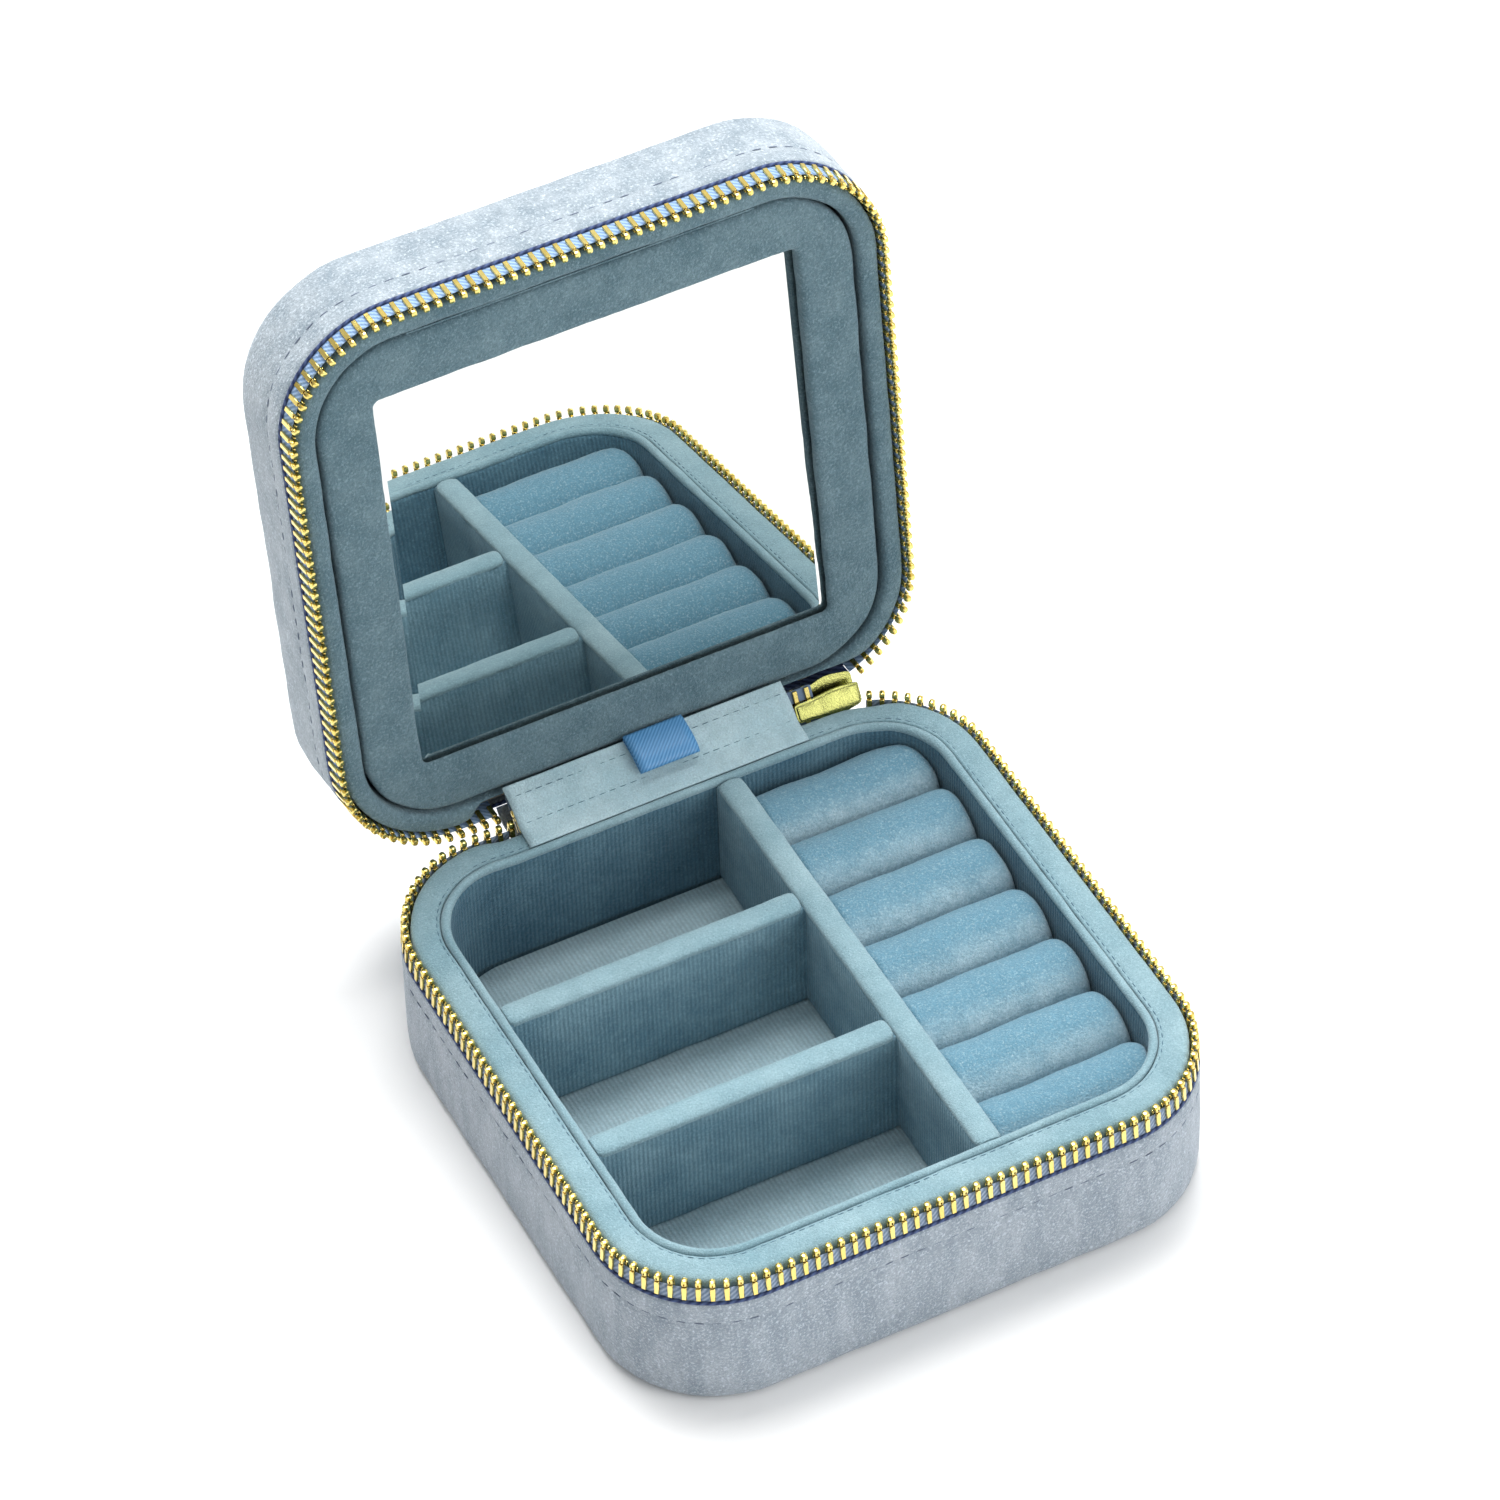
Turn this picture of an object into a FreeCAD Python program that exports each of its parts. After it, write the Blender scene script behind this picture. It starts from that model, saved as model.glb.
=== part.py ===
"""Travel jewelry case: a square velvet box in two zipped halves, joined by a cloth hinge.

Millimetres, +Z up. The origin is on the table under the middle of the base. +X runs along
the hinge towards the zip slider, and -Y points to the side that opens. Each node is made with
the lid shut, then turned to its place with the lid standing open, which is how it is stored.
"""
import FreeCAD, Part
import math
import os

from FreeCAD import Vector

# ---- overall sizes ---------------------------------------------------------------------
HALF_X = 48.8            # middle of the case to the outer velvet, along the hinge
HALF_Y = 49.4            # middle of the case to the outer velvet, front to back
CORNER_R = 19.2          # outer corner radius, seen from above
MEET_Z = 25.3            # height of the plane where the two halves meet
CLOSED_Z = 43.7          # height of the shut case
OPEN_DEG = 96.0          # how far the lid is open at rest, against its cloth stay

# ---- outer shells ----------------------------------------------------------------------
PANEL_T = 2.0            # velvet-covered top or bottom panel
PANEL_ROUND = 1.4        # rolled edge of those panels
VELVET_T = 0.5
BOARD_T = 1.75           # stiff board wall behind the velvet
BOARD_FLOOR_T = 0.95
GLUE_GAP = 0.05          # gap between pieces that are glued face to face
BAND_TO_MEET = 3.9       # velvet edge to the meeting plane
BOARD_TO_MEET = 4.5      # board edge to the meeting plane

# ---- zip -------------------------------------------------------------------------------
TAPE_T = 0.5
TAPE_TO_MEET = 0.95      # tape edge to the meeting plane
TAPE_DEEP = 7.7          # hidden tape edge to the meeting plane
PITCH = 2.0
TOOTH_T = 0.9            # along the zip
TOOTH_W = 1.3            # across the tape
TOOTH_HEAD = 0.8         # beyond the meeting plane
TOOTH_LEG = 2.9          # behind the meeting plane
TOOTH_SLOT = 0.56        # takes the tape
SLOT_TO_MEET = 0.9
BEND_REACH = 11.0        # lid teeth this near the hinge line bend with the tape

# ---- slider and pull -------------------------------------------------------------------
SLIDER_START = 25.2      # narrow end of the slider, along X
SLIDER_LENGTH = 11.0
SLIDER_PLATE_T = 0.45
SLIDER_GAP = 1.6         # between the two plates
SLIDER_NARROW = 2.25     # half heights of the plate: closed end, shoulder and mouth
SLIDER_SHOULDER = 2.9
SLIDER_MOUTH = 2.6
SLIDER_FLANGE = 0.4
SLIDER_PLAY = 0.05       # flanges to the legs of the teeth
SLIDER_TRAVEL = 3.0      # free run of the slider behind the gusset
BAR_R = 0.45             # bridge bar that the link hangs on
BAR_OFF = 1.8            # bar centre to plate
BAR_LENGTH = 4.6
LINK_R = 1.5             # centreline radius of the link
LINK_WIRE_R = 0.4
LINK_PLAY = 0.08
TAB_LENGTH = 14.0
TAB_WIDTH = 5.6
TAB_T = 0.8
TAB_HOLE_R = 1.0
TAB_PLAY = 0.15
TILT_SHARE = 0.3125      # part of the lid's angle that the slider end follows

# ---- lining ----------------------------------------------------------------------------
LINER_GAP = 0.1
RIM_CLEAR = 0.15         # liner rim to the meeting plane
BASE_RIM_W = 3.8
TRAY_WALL_T = 1.3
TRAY_FLOOR_T = 0.95
TRAY_RISE = 0.1          # tray wall above the meeting plane
LID_RIM_W = 2.4
LINING_T = 0.85

# ---- dividers and ring rolls -------------------------------------------------------------
DIVIDER_T = 4.4
DIVIDER_LEFT = 7.9       # left face of the long divider
DIVIDER_DROP = 0.1       # divider tops below the tray wall
DIVIDER_ROUND = 1.1
SIDE_CLEAR = 0.1
ROLLS = 7
ROLL_TOP = 22.7
ROLL_SHOULDER = 19.6     # where the round top of a roll begins
ROLL_BED_TOP = 9.0
ROLL_CLEAR = 0.15
COVER_T = 0.6

# ---- hinge -----------------------------------------------------------------------------
HINGE_OUT = 0.27         # hinge line beyond the outer velvet
HINGE_LOW = 1.7          # hinge line below the meeting plane
GUSSET_HALF = 23.7
GUSSET_SHIFT = 0.9       # the strips sit this much nearer the slider
STRIP_T = 0.6
SCOOP_R = 5.4            # room cut in the lid's liner for the zip ends
SCOOP_START = -27.0

# ---- mirror panel ----------------------------------------------------------------------
PANEL_GAP = 0.5          # mirror panel to the liner rim around it
PANEL_SINK = 1.0         # frame face behind the meeting plane
WINDOW_HALF = 34.4
WINDOW_R = 1.2
GLASS_SINK = 2.2
GLASS_T = 1.5
GLASS_GRIP = 0.9         # glass held behind the frame on each side
BACKBOARD_T = 1.5
HINGE_TAPE_LENGTH = 56.0
HINGE_TAPE_T = 0.25
RIBBON_W = 10.0
RIBBON_T = 0.8
RIBBON_SHIFT = 2.6
MAGNET_R = 4.0
MAGNET_T = 1.2
KEEPER_T = 0.6

# ---- worked out from the sizes above ------------------------------------------------------
HINGE_Y = HALF_Y + HINGE_OUT
HINGE_Z = MEET_Z - HINGE_LOW
TAPE_IN = VELVET_T + GLUE_GAP
TOOTH_IN = TAPE_IN + TAPE_T / 2
BOARD_IN = VELVET_T + GLUE_GAP
BOARD_INNER = BOARD_IN + BOARD_T
LINER_IN = BOARD_INNER + LINER_GAP
TRAY_IN = LINER_IN + BASE_RIM_W + LINER_GAP
WELL_IN = TRAY_IN + TRAY_WALL_T
LID_WELL_IN = LINER_IN + LID_RIM_W
FLOOR_Z = PANEL_T + GLUE_GAP
TRAY_FLOOR_Z = FLOOR_Z + BOARD_FLOOR_T + GLUE_GAP
TRAY_TOP_Z = TRAY_FLOOR_Z + TRAY_FLOOR_T
ROOF_Z = CLOSED_Z - PANEL_T - GLUE_GAP
LINING_Z = ROOF_Z - BOARD_FLOOR_T - GLUE_GAP
SLIDER_END = SLIDER_START + SLIDER_LENGTH
WEDGE_X = SLIDER_START + 0.62 * SLIDER_LENGTH
ZIP_Y = HALF_Y - TOOTH_IN
PLATE_FACE_Y = ZIP_Y + SLIDER_GAP / 2 + SLIDER_PLATE_T
BAR_Y = PLATE_FACE_Y + BAR_OFF
BAR_X = SLIDER_START + SLIDER_LENGTH / 2
GUSSET_LEFT = GUSSET_SHIFT - GUSSET_HALF
GUSSET_RIGHT = GUSSET_SHIFT + GUSSET_HALF
ROW_LEFT_END = GUSSET_LEFT - 0.6
ROW_RIGHT_START = SLIDER_END + 0.95


def outline(inset, z, extra_r=0.0):
    """Rounded-square wire, inset from the outer velvet, at height z."""
    half_x, half_y = HALF_X - inset, HALF_Y - inset
    radius = max(CORNER_R - inset + extra_r, 0.6)
    return rounded_wire(half_x, half_y, radius, z)


def rounded_wire(half_x, half_y, radius, z, mid_x=0.0, mid_y=0.0):
    """Rectangle with round corners, about (mid_x, mid_y)."""
    edges = []
    straight_x, straight_y = half_x - radius, half_y - radius
    corners = ((1, 1), (-1, 1), (-1, -1), (1, -1))
    for turn, (sign_x, sign_y) in enumerate(corners):
        centre = Vector(mid_x + sign_x * straight_x, mid_y + sign_y * straight_y, z)
        first, middle, last = (
            centre + Vector(math.cos(a), math.sin(a), 0) * radius
            for a in (math.pi / 2 * turn + k * math.pi / 4 for k in range(3))
        )
        edges.append((first, middle, last))
    wire_edges = []
    for number, (first, middle, last) in enumerate(edges):
        wire_edges.append(Part.Arc(first, middle, last).toShape())
        following = edges[(number + 1) % 4][0]
        if (following - last).Length > 1e-6:
            wire_edges.append(Part.LineSegment(last, following).toShape())
    return Part.Wire(wire_edges)


def slab(wire, height):
    """Upright prism on a closed wire."""
    return Part.Face(wire).extrude(Vector(0, 0, height))


def ring(outer_inset, inner_inset, low, high):
    """Wall that follows the case's outline between two insets."""
    height = high - low
    return slab(outline(outer_inset, low), height).cut(slab(outline(inner_inset, low), height))


def box(x0, x1, y0, y1, z0, z1):
    """Box between two corners."""
    return Part.makeBox(x1 - x0, y1 - y0, z1 - z0, Vector(x0, y0, z0))


def prism(points, direction):
    """Prism on a closed polygon."""
    wire = Part.makePolygon([*points, points[0]])
    return Part.Face(wire).extrude(direction)


def opened(shape, degrees):
    """Copy of a shape turned about the hinge, as opening the lid turns it."""
    moved = shape.copy()
    moved.rotate(Vector(0, HINGE_Y, HINGE_Z), Vector(-1, 0, 0), degrees)
    return moved


def flipped(shape):
    """Copy of a shape mirrored in the plane where the halves meet."""
    return shape.mirror(Vector(0, 0, MEET_Z), Vector(0, 0, 1))


def level_edges(shape, z):
    """Edges that lie flat at height z."""
    return [e for e in shape.Edges
            if abs(e.BoundBox.ZMin - z) < 1e-4 and abs(e.BoundBox.ZMax - z) < 1e-4]


# ---- shells ----------------------------------------------------------------------------
def bottom_panel():
    """Velvet-covered floor of the base, with a rolled lower edge."""
    plate = slab(outline(0, 0), PANEL_T)
    return plate.makeFillet(PANEL_ROUND, level_edges(plate, 0))


def top_panel():
    """Velvet-covered roof of the lid, with a rolled upper edge."""
    plate = slab(outline(0, CLOSED_Z - PANEL_T), PANEL_T)
    return plate.makeFillet(PANEL_ROUND, level_edges(plate, CLOSED_Z))


def shell_board(low, floor_top, tape_edge, high):
    """Stiff tray behind the velvet: a floor, a wall, and a thinner lip where the tape lies."""
    lip_in = TAPE_IN + TAPE_T + GLUE_GAP
    tray = slab(outline(BOARD_IN, low), tape_edge - low)
    tray = tray.fuse(slab(outline(lip_in, tape_edge), high - tape_edge))
    hollow = slab(outline(BOARD_INNER, floor_top), high - floor_top + 1)
    return tray.cut(hollow).removeSplitter()


def base_shell_board():
    """The base's stiff tray."""
    tape_edge = MEET_Z - TAPE_DEEP - GLUE_GAP
    return shell_board(FLOOR_Z, FLOOR_Z + BOARD_FLOOR_T, tape_edge, MEET_Z - BOARD_TO_MEET)


def lid_shell_board():
    """The lid's stiff tray, which is the base's turned over and less deep."""
    low = 2 * MEET_Z - ROOF_Z
    tape_edge = MEET_Z - TAPE_DEEP - GLUE_GAP
    tray = shell_board(low, low + BOARD_FLOOR_T, tape_edge, MEET_Z - BOARD_TO_MEET)
    return flipped(tray)


# ---- zip -------------------------------------------------------------------------------
def loop_place(distance):
    """Point on the line of teeth, and the angle that the teeth face there.

    The distance starts at the middle of the hinge side and runs clockwise, seen from above.
    """
    half_x, half_y, radius = HALF_X - TOOTH_IN, HALF_Y - TOOTH_IN, CORNER_R - TOOTH_IN
    run_x, run_y, arc = half_x - radius, half_y - radius, radius * math.pi / 2
    pieces = (
        ("run", run_x, (0, half_y), 90),
        ("arc", arc, (run_x, run_y), 90),
        ("run", 2 * run_y, (half_x, run_y), 0),
        ("arc", arc, (run_x, -run_y), 0),
        ("run", 2 * run_x, (run_x, -half_y), -90),
        ("arc", arc, (-run_x, -run_y), -90),
        ("run", 2 * run_y, (-half_x, -run_y), -180),
        ("arc", arc, (-run_x, run_y), -180),
        ("run", run_x, (-run_x, half_y), -270),
    )
    for kind, length, (x, y), degrees in pieces:
        if distance <= length or kind == "run" and degrees == -270:
            break
        distance -= length
    facing = math.radians(degrees)
    if kind == "arc":
        facing -= distance / radius
        return Vector(x + radius * math.cos(facing), y + radius * math.sin(facing), MEET_Z), facing
    along = Vector(math.sin(facing), -math.cos(facing), 0)
    return Vector(x, y, MEET_Z) + along * distance, facing


def loop_length():
    """Length of the closed line of teeth."""
    half_x, half_y, radius = HALF_X - TOOTH_IN, HALF_Y - TOOTH_IN, CORNER_R - TOOTH_IN
    return 4 * (half_x + half_y - 2 * radius) + 2 * math.pi * radius


def distance_of_x(x):
    """Distance along the line of teeth to a place on the right of the hinge side."""
    radius = CORNER_R - TOOTH_IN
    run_x = HALF_X - TOOTH_IN - radius
    if x <= run_x:
        return x
    return run_x + radius * math.asin((x - run_x) / radius)


def tooth(place, facing):
    """One tooth of the base's row: a round head and two legs astride the tape."""
    half, slot = TOOTH_W / 2, TOOTH_SLOT / 2
    shoulder = TOOTH_HEAD - half
    legs = (
        (half, -TOOTH_LEG), (slot, -TOOTH_LEG), (slot, -SLOT_TO_MEET),
        (-slot, -SLOT_TO_MEET), (-slot, -TOOTH_LEG), (-half, -TOOTH_LEG), (-half, shoulder),
    )
    points = [Vector(0, across, up) for across, up in ((half, shoulder), *legs)]
    edges = [Part.LineSegment(a, b).toShape() for a, b in zip(points[:-1], points[1:])]
    edges.append(Part.Arc(points[-1], Vector(0, 0, TOOTH_HEAD), points[0]).toShape())
    solid = Part.Face(Part.Wire(edges)).extrude(Vector(TOOTH_T, 0, 0))
    solid.translate(Vector(-TOOTH_T / 2, 0, 0))
    solid.rotate(Vector(0, 0, 0), Vector(0, 0, 1), math.degrees(facing) - 90)
    solid.translate(place)
    return solid


def row_count():
    """Number of whole pitches in one open row of teeth."""
    run = loop_length() + ROW_LEFT_END - distance_of_x(ROW_RIGHT_START)
    return int(run / PITCH)


def base_teeth():
    """The base's row of teeth, from the slider's mouth round to the gusset."""
    start = distance_of_x(ROW_RIGHT_START)
    return Part.makeCompound([tooth(*loop_place(start + n * PITCH)) for n in range(row_count() + 1)])


def lid_teeth(by_hinge):
    """The lid's row, set half a pitch along so that the two rows mesh.

    The teeth by the hinge are a group apart, because the tape bends there as the lid shuts.
    """
    start = distance_of_x(ROW_RIGHT_START) + PITCH / 2
    places = [loop_place(start + n * PITCH) for n in range(row_count())]
    row = [
        flipped(tooth(place, facing)) for place, facing in places
        if (HINGE_Y - place.y < BEND_REACH) == by_hinge
    ]
    return Part.makeCompound(row)


def zip_tape():
    """The base's tape, which stops at both ends of the open rows."""
    band = ring(TAPE_IN, TAPE_IN + TAPE_T, MEET_Z - TAPE_DEEP, MEET_Z - TAPE_TO_MEET)
    away = box(ROW_LEFT_END + TOOTH_T / 2, ROW_RIGHT_START - TOOTH_T / 2,
               HALF_Y - CORNER_R / 2, HALF_Y + 1, 0, CLOSED_Z)
    return band.cut(away)


def meshed_teeth(x0, x1):
    """A short closed run of both rows between two places on the hinge side."""
    teeth = []
    count = int((x1 - x0 - TOOTH_T) / (PITCH / 2))
    for n in range(count + 1):
        x = x0 + TOOTH_T / 2 + n * PITCH / 2
        one = tooth(Vector(x, ZIP_Y, MEET_Z), math.pi / 2)
        teeth.append(flipped(one) if n % 2 else one)
    return Part.makeCompound(teeth)


def end_tapes(x0, x1):
    """The two tape edges that a closed run of teeth is clamped on."""
    strip = box(x0, x1, ZIP_Y - TAPE_T / 2, ZIP_Y + TAPE_T / 2,
                MEET_Z - TOOTH_LEG, MEET_Z - TAPE_TO_MEET)
    return Part.makeCompound([strip, flipped(strip)])


def stop_box(x):
    """Metal stop that holds both rows together at the left end."""
    block = box(x, x + 2.2, ZIP_Y - 0.9, ZIP_Y + 0.9, MEET_Z - 1.6, MEET_Z + 1.6)
    return block.makeFillet(0.4, block.Edges)


# ---- slider and pull -------------------------------------------------------------------
def slider_outline(shrink, y):
    """Closed polygon of the slider's plate, narrow at the closed end."""
    shape = (
        (0.0, SLIDER_NARROW - 0.7), (0.7, SLIDER_NARROW), (0.25 * SLIDER_LENGTH, SLIDER_NARROW),
        (0.55 * SLIDER_LENGTH, SLIDER_SHOULDER), (0.72 * SLIDER_LENGTH, SLIDER_SHOULDER),
        (SLIDER_LENGTH - 0.5, SLIDER_MOUTH), (SLIDER_LENGTH, SLIDER_MOUTH - 0.5),
    )
    upper = [Vector(SLIDER_START + x, y, MEET_Z + h - shrink) for x, h in shape]
    lower = [Vector(SLIDER_START + x, y, MEET_Z - h + shrink) for x, h in reversed(shape)]
    return upper + lower


def slider_body():
    """Two plates, the wedge between them, the flanges that guide the rows, and the bridge."""
    half_gap = SLIDER_GAP / 2
    plates = []
    for y in (ZIP_Y - half_gap - SLIDER_PLATE_T, ZIP_Y + half_gap):
        plates.append(prism(slider_outline(0, y), Vector(0, SLIDER_PLATE_T, 0)))
    flange_depth = (SLIDER_GAP - TOOTH_W) / 2 - SLIDER_PLAY
    guided = box(SLIDER_START, SLIDER_START + 0.7 * SLIDER_LENGTH, 0, 2 * HALF_Y, 0, CLOSED_Z)
    for y in (ZIP_Y - half_gap, ZIP_Y + half_gap - flange_depth):
        rim = prism(slider_outline(0, y), Vector(0, flange_depth, 0))
        rim = rim.cut(prism(slider_outline(SLIDER_FLANGE, y), Vector(0, flange_depth, 0)))
        ends = box(SLIDER_START - 1, SLIDER_START + 0.75, 0, 2 * HALF_Y, 0, CLOSED_Z)
        plates.append(rim.common(guided).cut(ends))
    wedge = prism([Vector(WEDGE_X, ZIP_Y - half_gap, MEET_Z),
                   Vector(SLIDER_END - 1.2, ZIP_Y - half_gap, MEET_Z + 0.9),
                   Vector(SLIDER_END - 0.6, ZIP_Y - half_gap, MEET_Z),
                   Vector(SLIDER_END - 1.2, ZIP_Y - half_gap, MEET_Z - 0.9)],
                  Vector(0, SLIDER_GAP, 0))
    bar = Part.makeCylinder(BAR_R, BAR_LENGTH, Vector(BAR_X - BAR_LENGTH / 2, BAR_Y, MEET_Z),
                            Vector(1, 0, 0))
    posts = [
        box(x, x + 0.9, PLATE_FACE_Y, BAR_Y + BAR_R, MEET_Z - BAR_R, MEET_Z + BAR_R)
        for x in (BAR_X - BAR_LENGTH / 2, BAR_X + BAR_LENGTH / 2 - 0.9)
    ]
    body = plates[0]
    for piece in (*plates[1:], wedge, bar, *posts):
        body = body.fuse(piece)
    return body.removeSplitter()


def bar_at_rest():
    """Where the bridge bar's axis is with the slider tilted at rest."""
    spot = Part.Vertex(Vector(BAR_X, BAR_Y, MEET_Z))
    return opened(spot, OPEN_DEG * TILT_SHARE).Point


def pull_link():
    """Round wire link that hangs on the bridge bar."""
    bar = bar_at_rest()
    drop = LINK_R - LINK_WIRE_R - BAR_R - LINK_PLAY
    return Part.makeTorus(LINK_R, LINK_WIRE_R, bar - Vector(0, 0, drop), Vector(1, 0, 0))


def link_foot():
    """Centre of the link's wire at its lowest point, where the tab hangs."""
    drop = LINK_R - LINK_WIRE_R - BAR_R - LINK_PLAY
    return bar_at_rest() - Vector(0, 0, drop + LINK_R)


def pull_tab():
    """Flat drop-shaped tab with a hole for the link."""
    foot = link_foot()
    hole_z = foot.z + LINK_WIRE_R + TAB_PLAY - TAB_HOLE_R
    head_r = TAB_HOLE_R + 0.9
    low_r = TAB_WIDTH / 2
    low_z = hole_z - TAB_LENGTH + head_r + low_r
    y = foot.y - TAB_T / 2
    spread = math.asin((low_r - head_r) / (hole_z - low_z))
    side = []
    for centre_z, radius in ((hole_z, head_r), (low_z, low_r)):
        side.append((radius * math.cos(spread), centre_z + radius * math.sin(spread)))
    right = [Vector(foot.x + dx, y, z) for dx, z in side]
    left = [Vector(foot.x - dx, y, z) for dx, z in side]
    edges = [
        Part.LineSegment(right[0], right[1]).toShape(),
        Part.Arc(right[1], Vector(foot.x, y, low_z - low_r), left[1]).toShape(),
        Part.LineSegment(left[1], left[0]).toShape(),
        Part.Arc(left[0], Vector(foot.x, y, hole_z + head_r), right[0]).toShape(),
    ]
    plate = Part.Face(Part.Wire(edges)).extrude(Vector(0, TAB_T, 0))
    hole = Part.makeCylinder(TAB_HOLE_R, TAB_T, Vector(foot.x, y, hole_z), Vector(0, 1, 0))
    return plate.cut(hole)


# ---- lining, dividers and rolls -----------------------------------------------------------
def base_liner_rim():
    """Padded wall of the base, whose top is the wide rim around the tray."""
    return ring(LINER_IN, TRAY_IN - LINER_GAP, TRAY_FLOOR_Z, MEET_Z - RIM_CLEAR)


def lid_liner_rim():
    """Padded wall of the lid, scooped out behind the zip ends."""
    wall = ring(LINER_IN, LID_WELL_IN, MEET_Z + RIM_CLEAR, ROOF_Z - BOARD_FLOOR_T - GLUE_GAP)
    scoop = Part.makeCylinder(SCOOP_R, SLIDER_END + 1 - SCOOP_START,
                              Vector(SCOOP_START, HINGE_Y, HINGE_Z), Vector(1, 0, 0))
    return wall.cut(scoop)


def tray_wall():
    """Thin wall of the tray, inside the padded rim."""
    return ring(TRAY_IN, WELL_IN, TRAY_FLOOR_Z, MEET_Z + TRAY_RISE)


def tray_floor():
    """Velvet-covered floor of the tray."""
    return slab(outline(WELL_IN + GLUE_GAP, TRAY_FLOOR_Z), TRAY_FLOOR_T)


def divider(x0, x1, y0, y1):
    """Padded divider with a rounded top."""
    top = MEET_Z + TRAY_RISE - DIVIDER_DROP
    wall = box(x0, x1, y0, y1, TRAY_TOP_Z + GLUE_GAP, top)
    long_way = "x" if x1 - x0 > y1 - y0 else "y"
    edges = [
        e for e in level_edges(wall, top)
        if (e.BoundBox.XLength > e.BoundBox.YLength) == (long_way == "x")
    ]
    return wall.makeFillet(DIVIDER_ROUND, edges)


def long_divider():
    """Divider between the compartments and the ring rolls."""
    reach = HALF_Y - WELL_IN - SIDE_CLEAR
    return divider(DIVIDER_LEFT, DIVIDER_LEFT + DIVIDER_T, -reach, reach)


def cross_divider(number):
    """One of the two dividers that part the left side into three equal compartments."""
    depth = (2 * (HALF_Y - WELL_IN) - 2 * DIVIDER_T) / 3
    front = -(HALF_Y - WELL_IN) + depth * number + DIVIDER_T * (number - 1)
    left = -(HALF_X - WELL_IN - SIDE_CLEAR)
    return divider(left, DIVIDER_LEFT - GLUE_GAP, front, front + DIVIDER_T)


def well_room(low, high):
    """The space inside the tray wall, a little clear of it."""
    return slab(outline(WELL_IN + ROLL_CLEAR, low), high - low)


def ring_bed():
    """Board that the ring rolls stand on."""
    left = DIVIDER_LEFT + DIVIDER_T + GLUE_GAP
    low = TRAY_TOP_Z + GLUE_GAP
    high = ROLL_BED_TOP
    return well_room(low, high).common(box(left, HALF_X, -HALF_Y, HALF_Y, low, high))


def roll_profile(number, shrink):
    """Flat-bottomed profile with a round top, of one roll counted from the front."""
    width = 2 * (HALF_Y - WELL_IN - ROLL_CLEAR) / ROLLS
    middle = -(HALF_Y - WELL_IN - ROLL_CLEAR) + width * (number - 0.5)
    half = width / 2 - GLUE_GAP - shrink
    left = DIVIDER_LEFT + DIVIDER_T + GLUE_GAP
    low, shoulder, top = ROLL_BED_TOP + GLUE_GAP + shrink, ROLL_SHOULDER, ROLL_TOP - shrink
    corner = [
        Vector(left, middle + half, low), Vector(left, middle + half, shoulder),
        Vector(left, middle - half, shoulder), Vector(left, middle - half, low),
    ]
    edges = [
        Part.LineSegment(corner[0], corner[1]).toShape(),
        Part.Arc(corner[1], Vector(left, middle, top), corner[2]).toShape(),
        Part.LineSegment(corner[2], corner[3]).toShape(),
        Part.LineSegment(corner[3], corner[0]).toShape(),
    ]
    solid = Part.Face(Part.Wire(edges)).extrude(Vector(HALF_X, 0, 0))
    return solid.common(well_room(TRAY_TOP_Z, CLOSED_Z))


def roll_cover(number):
    """Velvet sleeve of one ring roll."""
    return roll_profile(number, 0).cut(roll_profile(number, COVER_T))


def roll_cores():
    """Foam cores of all the ring rolls."""
    return Part.makeCompound([roll_profile(n + 1, COVER_T + GLUE_GAP) for n in range(ROLLS)])


# ---- cloth hinge -------------------------------------------------------------------------
def strip(path, x0, x1):
    """Cloth strip along X whose section follows a smooth path with an even thickness."""
    curve = Part.BSplineCurve()
    curve.interpolate([Vector(x0, y, z) for y, z in path])
    steps = 12
    first, last = curve.FirstParameter, curve.LastParameter
    upper, lower = [], []
    for k in range(steps + 1):
        at = first + (last - first) * k / steps
        point, along = curve.value(at), curve.tangent(at)[0]
        side = Vector(0, -along.z, along.y) * (STRIP_T / 2)
        upper.append(point + side)
        lower.append(point - side)
    return prism(upper + lower[::-1], Vector(x1 - x0, 0, 0))


def hinge_point(y, z):
    """Place in the Y-Z plane of a point of the lid, once the lid is open."""
    point = opened(Part.Vertex(Vector(0, y, z)), OPEN_DEG).Point
    return point.y, point.z


def hinge_gusset():
    """Inner velvet strip: from the base's rim, over the zip ends, to the lid's rim."""
    rim_y = HALF_Y - TRAY_IN + LINER_GAP + STRIP_T
    rim_z = MEET_Z - RIM_CLEAR + STRIP_T / 2 + GLUE_GAP
    end_y, end_z = hinge_point(HALF_Y - LID_WELL_IN - 0.1, MEET_Z + RIM_CLEAR)
    end_y -= STRIP_T / 2 + GLUE_GAP
    path = [
        (rim_y, rim_z + 0.15), (rim_y + 1.2, rim_z + 0.15), (rim_y + 2.6, rim_z + 0.45),
        (HINGE_Y - 2.0, rim_z + 1.9), (HINGE_Y - 0.1, rim_z + 3.05), (end_y, end_z),
    ]
    return strip(path, GUSSET_LEFT, GUSSET_RIGHT)


def hinge_spine():
    """Outer velvet strip: the cloth that bends behind the zip ends."""
    base_z = MEET_Z - BAND_TO_MEET + STRIP_T / 2 + GLUE_GAP
    end_y, end_z = hinge_point(HALF_Y - VELVET_T / 2, MEET_Z + BAND_TO_MEET)
    end_y -= STRIP_T / 2 + GLUE_GAP
    start_y = HALF_Y - VELVET_T
    path = [
        (start_y, base_z + 0.1), (start_y + 1.0, base_z + 0.05), (start_y + 2.2, base_z - 0.6),
        (start_y + 4.0, base_z - 0.7), (end_y, end_z),
    ]
    return strip(path, GUSSET_LEFT, GUSSET_RIGHT)


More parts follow.
